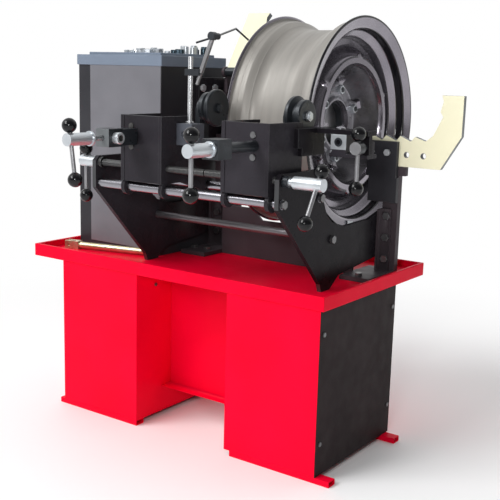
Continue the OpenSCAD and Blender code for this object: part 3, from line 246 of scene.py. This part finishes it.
def add(name, bm, looks, body, replaced=(), sharp=SHARP):
    """A finished piece from a bmesh in the row frame, riding on a CAD body."""
    mesh = bpy.data.meshes.new(name)
    bm.normal_update()
    bm.to_mesh(mesh)
    bm.free()
    obj = bpy.data.objects.new(name, mesh)
    bpy.context.scene.collection.objects.link(obj)
    for look in looks:
        mesh.materials.append(LOOK[look])
    finish_mesh(obj, sharp)
    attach(obj, body)
    if replaced:
        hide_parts(*replaced)
    return obj


def bevel_sharp(bm, width, mark=-1):
    """Breaks the convex edges; the new faces take a material mark, or their neighbours' one."""
    edges = [e for e in bm.edges if len(e.link_faces) == 2 and e.is_convex
             and e.calc_face_angle(0) > math.radians(CORNER)]
    bmesh.ops.bevel(bm, geom=edges, offset=width / 1000, segments=2, profile=0.6,
                    affect="EDGES", clamp_overlap=True, material=mark)


def cad_copy(node):
    """The CAD node's shape as a clean bmesh of whole faces."""
    bm = bmesh.new()
    bm.from_mesh(frame["nodes"][node].data)
    bmesh.ops.remove_doubles(bm, verts=bm.verts, dist=WELD)
    bmesh.ops.dissolve_limit(bm, angle_limit=math.radians(FLAT), verts=bm.verts, edges=bm.edges)
    for face in bm.faces:
        face.material_index = 0
    return bm


BODY_OF = {node: body for body, nodes in frame["record"]["behaviour"]["bodies"].items()
           for node in nodes}


def skin(node, looks, width, rule=None, highlight_edges=False, cuts=()):
    """A CAD node with its edges broken, standing for the node.

    The rule picks a face's look from its middle in tray coordinates and its normal, after the
    faces are cut at planes of (point, normal); when asked, the broken edges take the last look,
    a painted highlight.
    """
    bm = cad_copy(node)
    for point, normal in cuts:
        bmesh.ops.bisect_plane(bm, geom=[*bm.verts, *bm.edges, *bm.faces], dist=CLOSE,
                               plane_co=mm(*point), plane_no=normal)
    if rule:
        bm.normal_update()
        for face in bm.faces:
            face.material_index = rule(tray(face.calc_center_median()), face.normal)
    bevel_sharp(bm, width, len(looks) - 1 if highlight_edges else -1)
    return add(node + "_skin", bm, looks, BODY_OF[node], [node])


def nudge(obj, shift):
    """Moves a piece's points by a shift in mm, found from their place in tray coordinates."""
    for vertex in obj.data.vertices:
        vertex.co += shift(tray(vertex.co)) / 1000


def lathe(bm, profile, matrix, marks=None, around=48, closed=False):
    """Turns a profile of (radius, height) about Z, placed by a matrix, into a bmesh.

    Marks give the look of each band between two points of the profile.
    """
    rings = []
    for r, z in profile:
        if r < ON_AXIS:
            rings.append([bm.verts.new(matrix @ Vector((0, 0, z / 1000)))])
            continue
        ring = []
        for k in range(around):
            a = 2 * math.pi * k / around
            ring.append(bm.verts.new(matrix @ Vector((r * math.cos(a) / 1000,
                                                      r * math.sin(a) / 1000, z / 1000))))
        rings.append(ring)
    pairs = list(zip(rings, rings[1:]))
    if closed:
        pairs.append((rings[-1], rings[0]))
    for n, (low, high) in enumerate(pairs):
        for k in range(around):
            j = (k + 1) % around
            if len(low) == 1 and len(high) == 1:
                continue
            if len(low) == 1:
                corners = (low[0], high[j], high[k])
            elif len(high) == 1:
                corners = (low[k], low[j], high[0])
            else:
                corners = (low[k], low[j], high[j], high[k])
            face = bm.faces.new(corners)
            face.material_index = marks[n] if marks else 0


AXES = {
    "x": Matrix.Rotation(math.radians(90), 4, "Y"),
    "-x": Matrix.Rotation(math.radians(-90), 4, "Y"),
    "y": Matrix.Rotation(math.radians(-90), 4, "X"),
    "-y": Matrix.Rotation(math.radians(90), 4, "X"),
    "z": Matrix.Identity(4),
}


def at(point, axis="z", tilt=0.0):
    """Places a turned shape: its Z along an axis, at a point in tray coordinates."""
    return Matrix.Translation(mm(*point)) @ AXES[axis] @ Matrix.Rotation(math.radians(tilt), 4, "Z")


def cap_screw(bm, matrix, diameter, height):
    """Socket head: a round cap in the first look, with a round socket in the second."""
    r, edge = diameter / 2, 0.6
    key = r * 0.52
    cap = [(0, 0), (r, 0), (r, height - 1), (r - 1, height), (key + edge, height)]
    socket = [(key + edge, height), (key, height - edge), (key, height * 0.35), (0, height * 0.3)]
    lathe(bm, cap, matrix, [0] * 4, 36)
    lathe(bm, socket, matrix, [1] * 3, 36)


# Painted sheet, plates and turned parts: CAD shapes with broken edges

SKINS = {
    "red_paint": {"tray_top": 2.4, "left_pedestal": 0.9, "right_pedestal": 0.9,
                  "kneehole_panel": 0.7, "foot_tubes": 0.8},
    "grey_paint": {"cabinet_front": 1.0},
    "lid_paint": {"cabinet_lid": 2.5},
    "black_steel": {"left_ram": 1.0, "right_ram": 1.0, "left_roller": 0.8, "right_roller": 0.8,
                    "gauge_pointer": 0.3, "left_axle": 0.8},
    "chrome": {"guide_shafts": 0.8},
    "bright_chrome": {"gauge_post": 0.6},
    "panel_paint": {"right_side_panel": 0.7},
    "dark_panel": {"cross_panel": 1.0, "left_post": 1.0, "right_post": 1.0},
    "drawn_steel": {"tie_rod": 0.8},
    "zinc": {"lug_nuts": 1.2, "right_axle": 0.8},
    "magnet_grey": {"gauge_base": 1.2},
}
skins = {}
for look, nodes in SKINS.items():
    for node, width in nodes.items():
        skins[node] = skin(node, [look], width)

# Places of the rams' axes along X, and their height
LEFT_RAM, RIGHT_RAM, RAM_Z = 488.5, 857.5, 822.0

# Room for the right ram's travel: its roller along the carriage's wall, its bore over the feed nut
ROLLER_FACE, WALL_GAP = 890.0, Vector((-0.4, 0, 0))
BORE_R, REAM = 10.4, 0.15


def off_wall(point):
    return WALL_GAP if point.x > ROLLER_FACE - 0.5 else Vector()


def reamed(point):
    off = Vector((point.x - RIGHT_RAM, 0, point.z - RAM_Z))
    return off.normalized() * REAM if off.length < BORE_R else Vector()


nudge(skins["right_roller"], off_wall)
nudge(skins["right_ram"], reamed)

# A face looks one way when its normal goes that way by at least this
FACING = 0.9


def front_look(centre, normal):
    """The second look on what faces the front."""
    return 1 if normal.y < -FACING else 0


# Black plates, their broken edges painted a lighter grey: a painted highlight
HIGHLIGHT_EDGED = {"cabinet_case": "case_paint", "hook_clamp": "case_paint", "spindle_plate": "black_paint",
        # The side bracket takes the darker copy of the black paint: painted shade
        "side_bracket": "painted_shade_black"}
for node, look in HIGHLIGHT_EDGED.items():
    skin(node, [look, "painted_edge_highlight"], 1.2, highlight_edges=True)
# The side plates' front edge faces take the lighter edge look too, a painted highlight
for node, look in (("left_side_plate", "black_paint"), ("right_side_plate", "painted_shade_black")):
    # The right plate takes the darker copy of the black paint: painted shade on its shaded side
    skin(node, [look, "painted_edge_highlight"], 1.4, front_look, True)
skin("right_ram_block", ["black_steel", "painted_edge_highlight"], 1.4, highlight_edges=True)
# The left block's front face takes a grey look
skin("left_ram_block", ["black_steel", "block_grey"], 1.4, front_look)

for node in ("left_carriage", "right_carriage"):
    skin(node, ["black_paint", "painted_edge_highlight"], 1.3, highlight_edges=True)

# Screws: zinc hubs, dark threaded rods
LEAD_AXIS, LEAD_FROM, LEAD_R = (-76.0, 745.0), 342.0, 14.5
COLLAR, COLLAR_R = (927.0, 941.5), 13.5
FEED_HUB_END = -249.0


def lead_look(centre, normal):
    off = math.hypot(centre.y - LEAD_AXIS[0], centre.z - LEAD_AXIS[1])
    if COLLAR[0] < centre.x < COLLAR[1] and off < COLLAR_R:
        return 2
    return 1 if LEAD_FROM < centre.x < COLLAR[1] and off < LEAD_R else 0


for node in ("left_lead_screw", "right_lead_screw"):
    skin(node, ["zinc", "screw_steel", "black_steel"], 0.9, lead_look)


def feed_look(centre, normal):
    """The rod behind the hub is threaded."""
    return 1 if centre.y > FEED_HUB_END else 0


for node in ("left_feed_screw", "right_feed_screw"):
    skin(node, ["zinc", "zinc_thread"], 0.9, feed_look)


# Where the spindle plate's and the hook clamp's bolts are: x from and to, least y, least z
BRIGHT_BOLTS = [(348, 360, 330, 740), (870, math.inf, 370, 770)]


def bolt_look(centre, normal):
    """Bright bolts on the spindle plate and the hook's clamp, dull ones elsewhere."""
    bright = any(x_from < centre.x < x_to and centre.y > y and centre.z > z
                 for x_from, x_to, y, z in BRIGHT_BOLTS)
    return 1 if bright else 0


skin("frame_bolts", ["bolt_grey", "bright_bolt"], 0.8, bolt_look)

# Side head: a bright pad over a bright ledge, dark past their end, between and below them, its
# faces turned to the right painted dark as painted shade, and a dull hub face
PAD_END, PAD_FOOT, LEDGE = 996.0, 803.6, (810.5, 812.5)


def pad_look(centre, normal):
    # A face turned to the right is painted dark: painted shade
    past_end_or_shaded_side = centre.x > PAD_END or normal.x > FACING
    return 1 if past_end_or_shaded_side or centre.z < PAD_FOOT or LEDGE[0] < centre.z < LEDGE[1] else 0


skin("side_pad", ["zinc", "black_paint"], 0.9, pad_look,
     cuts=[((PAD_END, 0, 0), (1, 0, 0)), *(((0, 0, z), (0, 0, 1)) for z in LEDGE)])
skin("side_screw", ["dull_zinc", "black_steel"], 0.9, lambda c, n: 1 - front_look(c, n))

# Dark flange of the spindle, and the gauge's arm, by their places along X and Z
FLANGE_FROM, ARM_CLAMP, SWIVEL_FROM = 735.0, (973.0, 991.0), 1056.0
skin("spindle_shaft", ["steel", "black_steel"], 0.8, lambda c, n: 1 if c.x > FLANGE_FROM else 0)


def arm_look(centre, normal):
    """The gauge's arm is a steel rod; its clamp and swivel are black."""
    in_clamp = ARM_CLAMP[0] < centre.z < ARM_CLAMP[1]
    return 0 if in_clamp or centre.z > SWIVEL_FROM else 1


skin("gauge_arm", ["black_steel", "steel"], 0.8, arm_look)

# Parts inside the cabinet and the rams stay as the CAD drew them
INSIDE = {
    "drive_motor": "iron", "drive_belt": "belt_rubber", "bearing_housing": "iron",
    "spindle_bearings": "steel", "spindle_pulley": "iron", "motor_pulley": "iron",
    "left_feed_nut": "bronze", "right_feed_nut": "bronze",
}
for node, look in INSIDE.items():
    obj = frame["nodes"][node]
    obj.data.materials.clear()
    obj.data.materials.append(LOOK[look])


# Hooks: cream faces, bare cut edges

# Least part of a cream face's normal that is along the plate's own
CREAM = 0.45


def hook(node, normal, pins, reach):
    """A hook plate, dark within reach of a hole or of the hinge's pin.

    A pin is (x, y, z), with None for the direction that it runs in.
    """
    bm = cad_copy(node)
    bevel_sharp(bm, 0.9)
    bm.normal_update()
    for face in bm.faces:
        face.material_index = 0 if abs(face.normal.dot(normal)) > CREAM else 1
        centre = tray(face.calc_center_median())
        for pin in pins:
            gap = math.hypot(*(c - p for c, p in zip(centre, pin) if p is not None))
            if gap < reach:
                face.material_index = 2
    add(node + "_skin", bm, ["cream_paint", "cut_steel", "black_steel"], BODY_OF[node], [node])


LEAN = math.radians(32)
BOLT_HOLES, HOLE_R = [(990, None, 782), (1038, None, 782)], 8.2
HINGE_PIN, EAR_R = [(None, 405, 985)], 14.5
hook("front_hook", Vector((0, 1, 0)), BOLT_HOLES, HOLE_R)
hook("rear_hook", Vector((0, math.cos(LEAN), -math.sin(LEAN))), HINGE_PIN, EAR_R)


# Loose lever, bright zinc with a yellow tint
bm = cad_copy("lever_bar")
bevel_sharp(bm, 1.0)
add("lever_bar_skin", bm, ["yellow_zinc"], "base", ["lever_bar"])


# T-bars: steel bar with two black ball knobs

KNOB_R, NECK_R, BAR_R = 17.5, 6.4, 5.0
# Where the ball starts at its neck and its steps, in degrees
NECK_ANGLE, KNOB_STEP = 24, 12
# The upper knob's height over the hub's axis, and the knobs' distance
SEAT, SPAN = 32.8, 126.0


def knob_profile(centre, neck_up):
    """Ball with a flat neck where the bar goes in, from the low end to the high end."""
    ball = [(KNOB_R * math.sin(math.radians(a)), centre - KNOB_R * math.cos(math.radians(a)))
            for a in range(NECK_ANGLE, 181, KNOB_STEP)]
    points = [(NECK_R, ball[0][1] - 1.0), *ball]
    if neck_up:
        points = [(r, 2 * centre - z) for r, z in reversed(points)]
    return points


def t_bar(node, point, turn):
    """A bar through its hub, with a ball knob on each end."""
    low, high = SEAT - SPAN, SEAT
    lower = knob_profile(low, True)
    upper = knob_profile(high, False)
    bar = [(BAR_R, lower[-1][1]), (BAR_R, upper[0][1])]
    profile = lower + bar + upper
    marks = [0] * len(lower) + [1] + [0] * len(upper)
    bm = bmesh.new()
    lathe(bm, profile, Matrix.Translation(mm(*point)) @ turn, marks, 40)
    add(node + "_skin", bm, ["black_plastic", "dull_zinc"], BODY_OF[node], [node])


# Each bar's place in its hub, and its lean in degrees about an axis
T_BARS = {
    "left_lead_bar": ((295.7, *LEAD_AXIS), 0, "X"),
    "right_lead_bar": ((1014, *LEAD_AXIS), -29, "X"),
    "left_feed_bar": ((LEFT_RAM, -313, RAM_Z), -8, "Y"),
    "right_feed_bar": ((RIGHT_RAM, -325.3, RAM_Z), 0, "Y"),
    "side_bar": ((1040, 53.5, 821), 0, "Y"),
}
for node, (point, lean, axis) in T_BARS.items():
    t_bar(node, point, Matrix.Rotation(math.radians(lean), 4, axis))


# Wheel rim: turned barrel and a dished disc with six lug bosses

RIM_LEFT, RIM_AXIS, RIM_W = 600.0, (415.0, 853.0), 258.0
TO_RIM = at((RIM_LEFT, *RIM_AXIS), "x")
RIM_LOOKS = ["rim_alloy", "rim_gloss", "rim_pocket", "rim_painted_dark", "rim_cast"]
ALLOY, GLOSS, POCKET, PAINTED_DARK, CAST = range(len(RIM_LOOKS))

w = RIM_W
# Closed profile as runs of (radius, distance from the left flange), each run with its look
RIM_RUNS = [
    (GLOSS, [(284, 0), (287.5, 0.6), (289.4, 2.4), (290, 4.5), (288.5, 6.6)]),
    (ALLOY, [(284, 8), (278.5, 9.5), (276.4, 12), (276, 26), (276.9, 27), (276.9, 29), (275.8, 30),
             (275, 40), (274, 44), (270, 50), (264, 59), (264.4, 60.4), (262.6, 62.4), (257, 70),
             (253, 82), (252, 94), (252, w - 90), (254, w - 78), (260, w - 62), (264, w - 55),
             (272, w - 42), (276, w - 36), (277, w - 22), (277.6, w - 14)]),
    (GLOSS, [(280, w - 9.5), (286, w - 7.4)]),
    # The near-black runs on the outer flange's lip and bead seat are painted dark reflection and
    # shade
    (PAINTED_DARK, [(289.4, w - 5), (290, w - 3), (289, w - 0.8), (286.6, w)]),
    (GLOSS, [(284, w - 0.6), (276, w - 3), (264, w - 6)]),
    (PAINTED_DARK, [(258, w - 9), (255.6, w - 13), (255, w - 20), (255, w - 29)]),
    (GLOSS, [(253.6, w - 33), (250, w - 37), (239, w - 43.5)]),
    (POCKET, [(235, w - 46.5), (233, w - 51), (231, w - 62)]),
    (ALLOY, [(230.5, w - 70), (246, w - 84), (246, 92), (247, 82), (251, 70), (256, 62), (264, 50),
             (268, 44), (269, 38), (270, 30), (270.4, 12), (273, 8), (279, 4)]),
]


def rim_barrel(bm):
    profile = [point for mark, run in RIM_RUNS for point in run]
    marks = [mark for mark, run in RIM_RUNS for point in run]
    lathe(bm, profile, TO_RIM, marks, 144, True)


def on_rim(x, r, angle):
    """A point at a radius and angle about the rim's axis."""
    return mm(x, RIM_AXIS[0] + r * math.sin(angle), RIM_AXIS[1] + r * math.cos(angle))


# Disc: its places, its heights over the hub's face, and where its forms rise or fall, in mm
HUB_FACE, DISC_BORE, LUGS, LUG_TURN, LUG_CIRCLE = 767.0, 64, 6, math.radians(5), 93
CONE_TOP, RING_TOP, LIP_TOP = 58, 61, 4
SPOKE_RISE, FACE_DROP, VALLEY_DROP = 8, 7, 38
CONE, LIP, BOSS = (108, 172), (70, 75), (22, 26)
SPOKE_IN, SPOKE_OUT, SPOKE_SIDE = (96, 108), (122, 132), (11, 16)
RING_IN, RING_OUT = (158, 165), (177, 182)
TIP_IN, TIP_OUT, TIP_SIDE, TIP_TAPER = (160, 166), (194, 204), (8, 13), 0.6
VALLEY, VALLEY_FROM = (180, 214), 176


def smooth(low, high, value):
    """Runs from 0 to 1 between low and high."""
    t = min(1.0, max(0.0, (value - low) / (high - low)))
    return t * t * (3 - 2 * t)


def disc_height(r, angle):
    """Height of the disc's face over its hub at a radius and angle, in mm, and how raised it is."""
    step = 2 * math.pi / LUGS
    off = (angle - LUG_TURN + step / 2) % step - step / 2
    across = r * abs(math.sin(off))
    cone = CONE_TOP * smooth(*CONE, r)
    spoke = (1 - smooth(*SPOKE_SIDE, across)) * smooth(*SPOKE_IN, r) * (1 - smooth(*SPOKE_OUT, r))
    boss = 1 - smooth(*BOSS, math.hypot(r * math.cos(off) - LUG_CIRCLE, r * math.sin(off)))
    lip = 1 - smooth(*LIP, r)
    ring = smooth(*RING_IN, r) * (1 - smooth(*RING_OUT, r))
    narrowed = across + TIP_TAPER * max(0, r - RING_OUT[1])
    tip = (1 - smooth(*TIP_SIDE, narrowed)) * (1 - smooth(*TIP_OUT, r)) * smooth(*TIP_IN, r)
    raised = max(spoke, boss, lip, ring, tip)
    if r > VALLEY_FROM:
        valley = RING_TOP - VALLEY_DROP * smooth(*VALLEY, r)
        return valley + (RING_TOP - valley) * tip, raised
    face = cone - FACE_DROP
    top = max(cone + SPOKE_RISE * spoke * (1 - ring), LIP_TOP * lip, RING_TOP * max(ring, tip))
    return face + (top - face) * raised, raised


# Rings of the disc's face, closer together where it is steep
DISC_RADII = [DISC_BORE, 65.5, 68, 71, 74, 77, *range(80, 156, 3), 157, 159, 161, 163, 165, 168,
              172, 175, 177, 179, 181, 184, 188, 192, 196, 200, 205, 210, 215, 222, 230]
STEPS, BORE_RING, OUTER_CONE, LIGHT = 288, 112, 183, 1.6


def rim_disc(bm):
    """The disc's face: cast round the bore, glossy where it is raised and on its outer cone."""
    grid = []
    for r in DISC_RADII:
        row = []
        for k in range(STEPS):
            a = 2 * math.pi * k / STEPS
            height, raised = disc_height(r, a)
            row.append((bm.verts.new(on_rim(HUB_FACE + height, r, a)), raised))
        grid.append(row)
    for r, low, high in zip(DISC_RADII, grid, grid[1:]):
        for k in range(STEPS):
            j = (k + 1) % STEPS
            corners = [low[k], low[j], high[j], high[k]]
            face = bm.faces.new([v for v, raised in corners])
            light = sum(raised for v, raised in corners) > LIGHT or r > OUTER_CONE
            face.material_index = CAST if r < BORE_RING else GLOSS if light else POCKET


def disc_back(bm):
    profile = [(DISC_BORE, HUB_FACE + LIP_TOP - RIM_LEFT), (DISC_BORE, w - 111), (115, w - 111),
               (160, w - 48), (178, w - 48), (208, w - 82), (240, w - 82)]
    lathe(bm, profile, TO_RIM, [GLOSS] + [POCKET] * (len(profile) - 2), 120)


bm = bmesh.new()
rim_barrel(bm)
rim_disc(bm)
disc_back(bm)
bmesh.ops.remove_doubles(bm, verts=bm.verts, dist=CLOSE)
bmesh.ops.recalc_face_normals(bm, faces=bm.faces)
add("wheel_rim_skin", bm, RIM_LOOKS, "spindle", ["wheel_rim"], sharp=50)

# Balance weight clipped on the outer flange, its section as (radius, distance from the left flange)
WEIGHT_ANGLE, WEIGHT_SPAN, STRIPS = math.radians(190.9), math.radians(6.5), 8
SECTION = [(262, w - 5.2), (274, w - 2.2), (274, w - 0.6), (268, w - 0.2), (262.5, w - 1.4)]
bm = bmesh.new()
rows = []
for k in range(STRIPS + 1):
    a = WEIGHT_ANGLE + WEIGHT_SPAN * (k / STRIPS - 0.5)
    rows.append([bm.verts.new(on_rim(RIM_LEFT + x, r, a)) for r, x in SECTION])
for low, high in zip(rows, rows[1:]):
    for n in range(len(SECTION)):
        m = (n + 1) % len(SECTION)
        bm.faces.new((low[n], low[m], high[m], high[n]))
bm.faces.new(rows[0])
bm.faces.new(rows[-1])
bmesh.ops.recalc_face_normals(bm, faces=bm.faces)
add("rim_weight", bm, ["zinc"], "spindle")


# Carriage face bolts: low plain heads, clear of the left ram's block at its limit
CARRIAGE_FRONT, BOLT_ROWS = -100, (846.5, 795.5)
LOW_HEAD = [(0, 0), (8, 0), (8, 2), (7.2, 3), (3, 3.4), (0, 3.4)]
for side, x, look in (("left", 481, "dull_bolt"), ("right", 854.5, "bolt_grey")):
    bm = bmesh.new()
    for z in BOLT_ROWS:
        lathe(bm, LOW_HEAD, at((x, CARRIAGE_FRONT, z), "-y"))
    add(side + "_carriage_screws", bm, [look], side + "_carriage")

# Clamp screw on the left ram's block, the side pad's screw and the bolt on the carriage's arm
BLOCK_HALF, BLOCK_SCREW, PAD_SCREW, ARM_BOLT = 22, -187, (973, 80, 830), (966, 100, 860)
ROUND_HEAD = [(0, 0), (12, 0), (12, 2), (9.5, 4.5), (5, 6.4), (0, 7)]
bm = bmesh.new()
cap_screw(bm, at((LEFT_RAM + BLOCK_HALF, BLOCK_SCREW, RAM_Z), "x"), 28, 17)
add("left_block_screw", bm, ["zinc", "dull_bolt"], "left_ram")
bm = bmesh.new()
cap_screw(bm, at(PAD_SCREW, "-y"), 21, 2.5)
add("side_pad_screw", bm, ["black_steel", "black_plastic"], "side_pad")
bm = bmesh.new()
lathe(bm, ROUND_HEAD, at(ARM_BOLT))
add("side_plate_bolt", bm, ["chrome"], "right_carriage")

# Loose nuts and sockets on the cabinet's lid: (x, y, width, height, turn)
LID_TOP = 1034
NUTS = [(126, 262, 17, 9, 12), (140, 288, 20, 12, 40), (150, 256, 15, 8, 5),
        (163, 276, 19, 14, 18), (178, 300, 21, 12, 25), (186, 262, 16, 9, 50),
        (200, 280, 19, 12, 15), (152, 312, 18, 11, 0), (214, 258, 20, 12, 33),
        (224, 300, 16, 9, 20), (240, 276, 20, 13, 8), (252, 300, 15, 8, 30),
        (134, 320, 18, 16, 9), (172, 330, 19, 18, 22), (206, 322, 17, 15, 3)]
SOCKETS = [(254, 372, 20, 25, 0), (274, 358, 18, 23, 0), (294, 372, 20, 26, 0),
           (280, 396, 17, 22, 0), (306, 352, 17, 20, 0)]
DARK_SOCKETS = [(290, 428, 22, 24, 0), (306, 404, 19, 19, 0), (268, 330, 18, 14, 0),
                (290, 318, 17, 13, 0), (248, 334, 19, 12, 0), (262, 424, 18, 16, 0)]


def loose(bm, x, y, across, height, turn, sides):
    """An upright ring lying on the lid: a nut with six sides or a round socket."""
    bore = across * 0.29
    outer_r = across / math.sqrt(3) if sides == 6 else across / 2
    lathe(bm, [(bore, 0), (outer_r, 0), (outer_r, height - 1.2), (outer_r - 1.4, height),
               (bore + 1, height), (bore, height - 1), (bore, 0.5)], at((x, y, LID_TOP), "z", turn),
          None, sides, True)


LOOSE = [("lid_nuts", NUTS, 6, "zinc"), ("lid_sockets", SOCKETS, 32, "zinc"),
         ("lid_dark_sockets", DARK_SOCKETS, 32, "blue_steel")]
for name, pieces, sides, look in LOOSE:
    bm = bmesh.new()
    for piece in pieces:
        loose(bm, *piece, sides)
    add(name, bm, [look], "base")


# Stage: pale floor, soft light, and a camera fitted to the photo's tray and pedestals

AZ, EL, ROLL = (math.radians(a) for a in (35.3163, 11.0293, 1.5466))
EYE, LENS, SENSOR = Vector((1.48066, -1.97038, 0.98427)), 65.38, 36
# Distances from the machine's middle between which the floor turns white, in metres
NEAR, FAR = 1.0, 2.2
# The studio's bright side, left of straight behind the machine and a little above, and its levels
BRIGHT_WAY, BRIGHT_RISE = AZ + math.radians(20), 0.25
DARK_TO, BRIGHT_FROM, DARK_LEVEL, BRIGHT_LEVEL = -0.35, 0.55, 0.12, 1.0
SUN_POWER, SUN_SPREAD, SUN_WAY = 1.45, math.radians(28), Vector((0.55, 0.80, -0.95))
FLASH_OFF = 0.30


def area(name, point, target, size, power):
    data = bpy.data.lights.new(name, "AREA")
    data.shape = "RECTANGLE"
    data.size, data.size_y = size
    data.energy = power
    obj = bpy.data.objects.new(name, data)
    obj.location = point
    obj.rotation_euler = (Vector(target) - Vector(point)).to_track_quat("-Z", "Y").to_euler()
    bpy.context.scene.collection.objects.link(obj)


def fade_to_white(material):
    """Far off, the floor runs into the white background, in what is seen and reflected."""
    tree = material.node_tree
    rays = tree.nodes.new("ShaderNodeLightPath")
    seen = rays.outputs["Is Camera Ray"]
    for kind in ("Is Glossy Ray", "Is Transmission Ray"):
        either = tree.nodes.new("ShaderNodeMath")
        either.operation = "MAXIMUM"
        tree.links.new(seen, either.inputs[0])
        tree.links.new(rays.outputs[kind], either.inputs[1])
        seen = either.outputs["Value"]
    away = tree.nodes.new("ShaderNodeVectorMath")
    away.operation = "LENGTH"
    tree.links.new(tree.nodes.new("ShaderNodeTexCoord").outputs["Object"], away.inputs[0])
    fade = tree.nodes.new("ShaderNodeMapRange")
    fade.interpolation_type = "SMOOTHSTEP"
    fade.inputs["From Min"].default_value = NEAR
    fade.inputs["From Max"].default_value = FAR
    tree.links.new(away.outputs["Value"], fade.inputs["Value"])
    share = tree.nodes.new("ShaderNodeMath")
    share.operation = "MULTIPLY"
    tree.links.new(seen, share.inputs[0])
    tree.links.new(fade.outputs["Result"], share.inputs[1])
    white = tree.nodes.new("ShaderNodeEmission")
    white.inputs["Color"].default_value = (1, 1, 1, 1)
    mixed = tree.nodes.new("ShaderNodeMixShader")
    tree.links.new(share.outputs["Value"], mixed.inputs["Fac"])
    tree.links.new(tree.nodes["Principled BSDF"].outputs["BSDF"], mixed.inputs[1])
    tree.links.new(white.outputs["Emission"], mixed.inputs[2])
    link(tree, mixed, "Shader", tree.nodes["Material Output"], "Surface")


def studio():
    """White behind the machine and to its left, darker in front of it and to its right."""
    world = bpy.data.worlds.new("studio")
    bpy.context.scene.world = world
    world.use_nodes = True
    tree = world.node_tree
    facing = tree.nodes.new("ShaderNodeVectorMath")
    facing.operation = "DOT_PRODUCT"
    facing.inputs[1].default_value = (-math.sin(BRIGHT_WAY), math.cos(BRIGHT_WAY), BRIGHT_RISE)
    tree.links.new(tree.nodes.new("ShaderNodeTexCoord").outputs["Generated"], facing.inputs[0])
    level = tree.nodes.new("ShaderNodeMapRange")
    level.inputs["From Min"].default_value = DARK_TO
    level.inputs["From Max"].default_value = BRIGHT_FROM
    level.inputs["To Min"].default_value = DARK_LEVEL
    level.inputs["To Max"].default_value = BRIGHT_LEVEL
    tree.links.new(facing.outputs["Value"], level.inputs["Value"])
    tree.links.new(level.outputs["Result"], tree.nodes["Background"].inputs["Strength"])
    tree.nodes["Background"].inputs["Color"].default_value = (1, 1, 1, 1)


bm = bmesh.new()
bmesh.ops.create_grid(bm, x_segments=8, y_segments=8, size=20)
mesh = bpy.data.meshes.new("floor")
bm.to_mesh(mesh)
bm.free()
floor = bpy.data.objects.new("floor", mesh)
bpy.context.scene.collection.objects.link(floor)
pale = finish_of("floor_pale", (0.94, 0.94, 0.945), (0.96, 0.96, 0.965), (0.6, 0.7), scale=0.8,
                 grain=60, relief=0.01)
mesh.materials.append(pale)
fade_to_white(pale)
studio()

sun = bpy.data.lights.new("sun", "SUN")
sun.energy = SUN_POWER
sun.angle = SUN_SPREAD
key = bpy.data.objects.new("key", sun)
key.rotation_euler = SUN_WAY.to_track_quat("-Z", "Y").to_euler()
bpy.context.scene.collection.objects.link(key)
area("soft_front", (-0.6, -3.0, 2.4), (0, 0, 0.6), (1.0, 0.8), 27)

# Camera: its axes from the photo's azimuth, elevation and roll
behind = Vector((math.sin(AZ) * math.cos(EL), -math.cos(AZ) * math.cos(EL), math.sin(EL)))
flat_right = Vector((math.cos(AZ), math.sin(AZ), 0))
flat_up = behind.cross(flat_right)
right = math.cos(ROLL) * flat_right + math.sin(ROLL) * flat_up
upward = -math.sin(ROLL) * flat_right + math.cos(ROLL) * flat_up
lens = bpy.data.cameras.new("camera")
lens.lens = LENS
lens.sensor_width = SENSOR
camera = bpy.data.objects.new("camera", lens)
turn = Matrix((right, upward, behind)).transposed().to_4x4()
camera.matrix_world = Matrix.Translation(EYE) @ turn
bpy.context.scene.collection.objects.link(camera)
bpy.context.scene.camera = camera
area("flash", EYE - FLASH_OFF * right + FLASH_OFF * upward, (0, 0.1, 0.75), (0.36, 0.30), 15)
bpy.context.scene.view_settings.view_transform = "Standard"
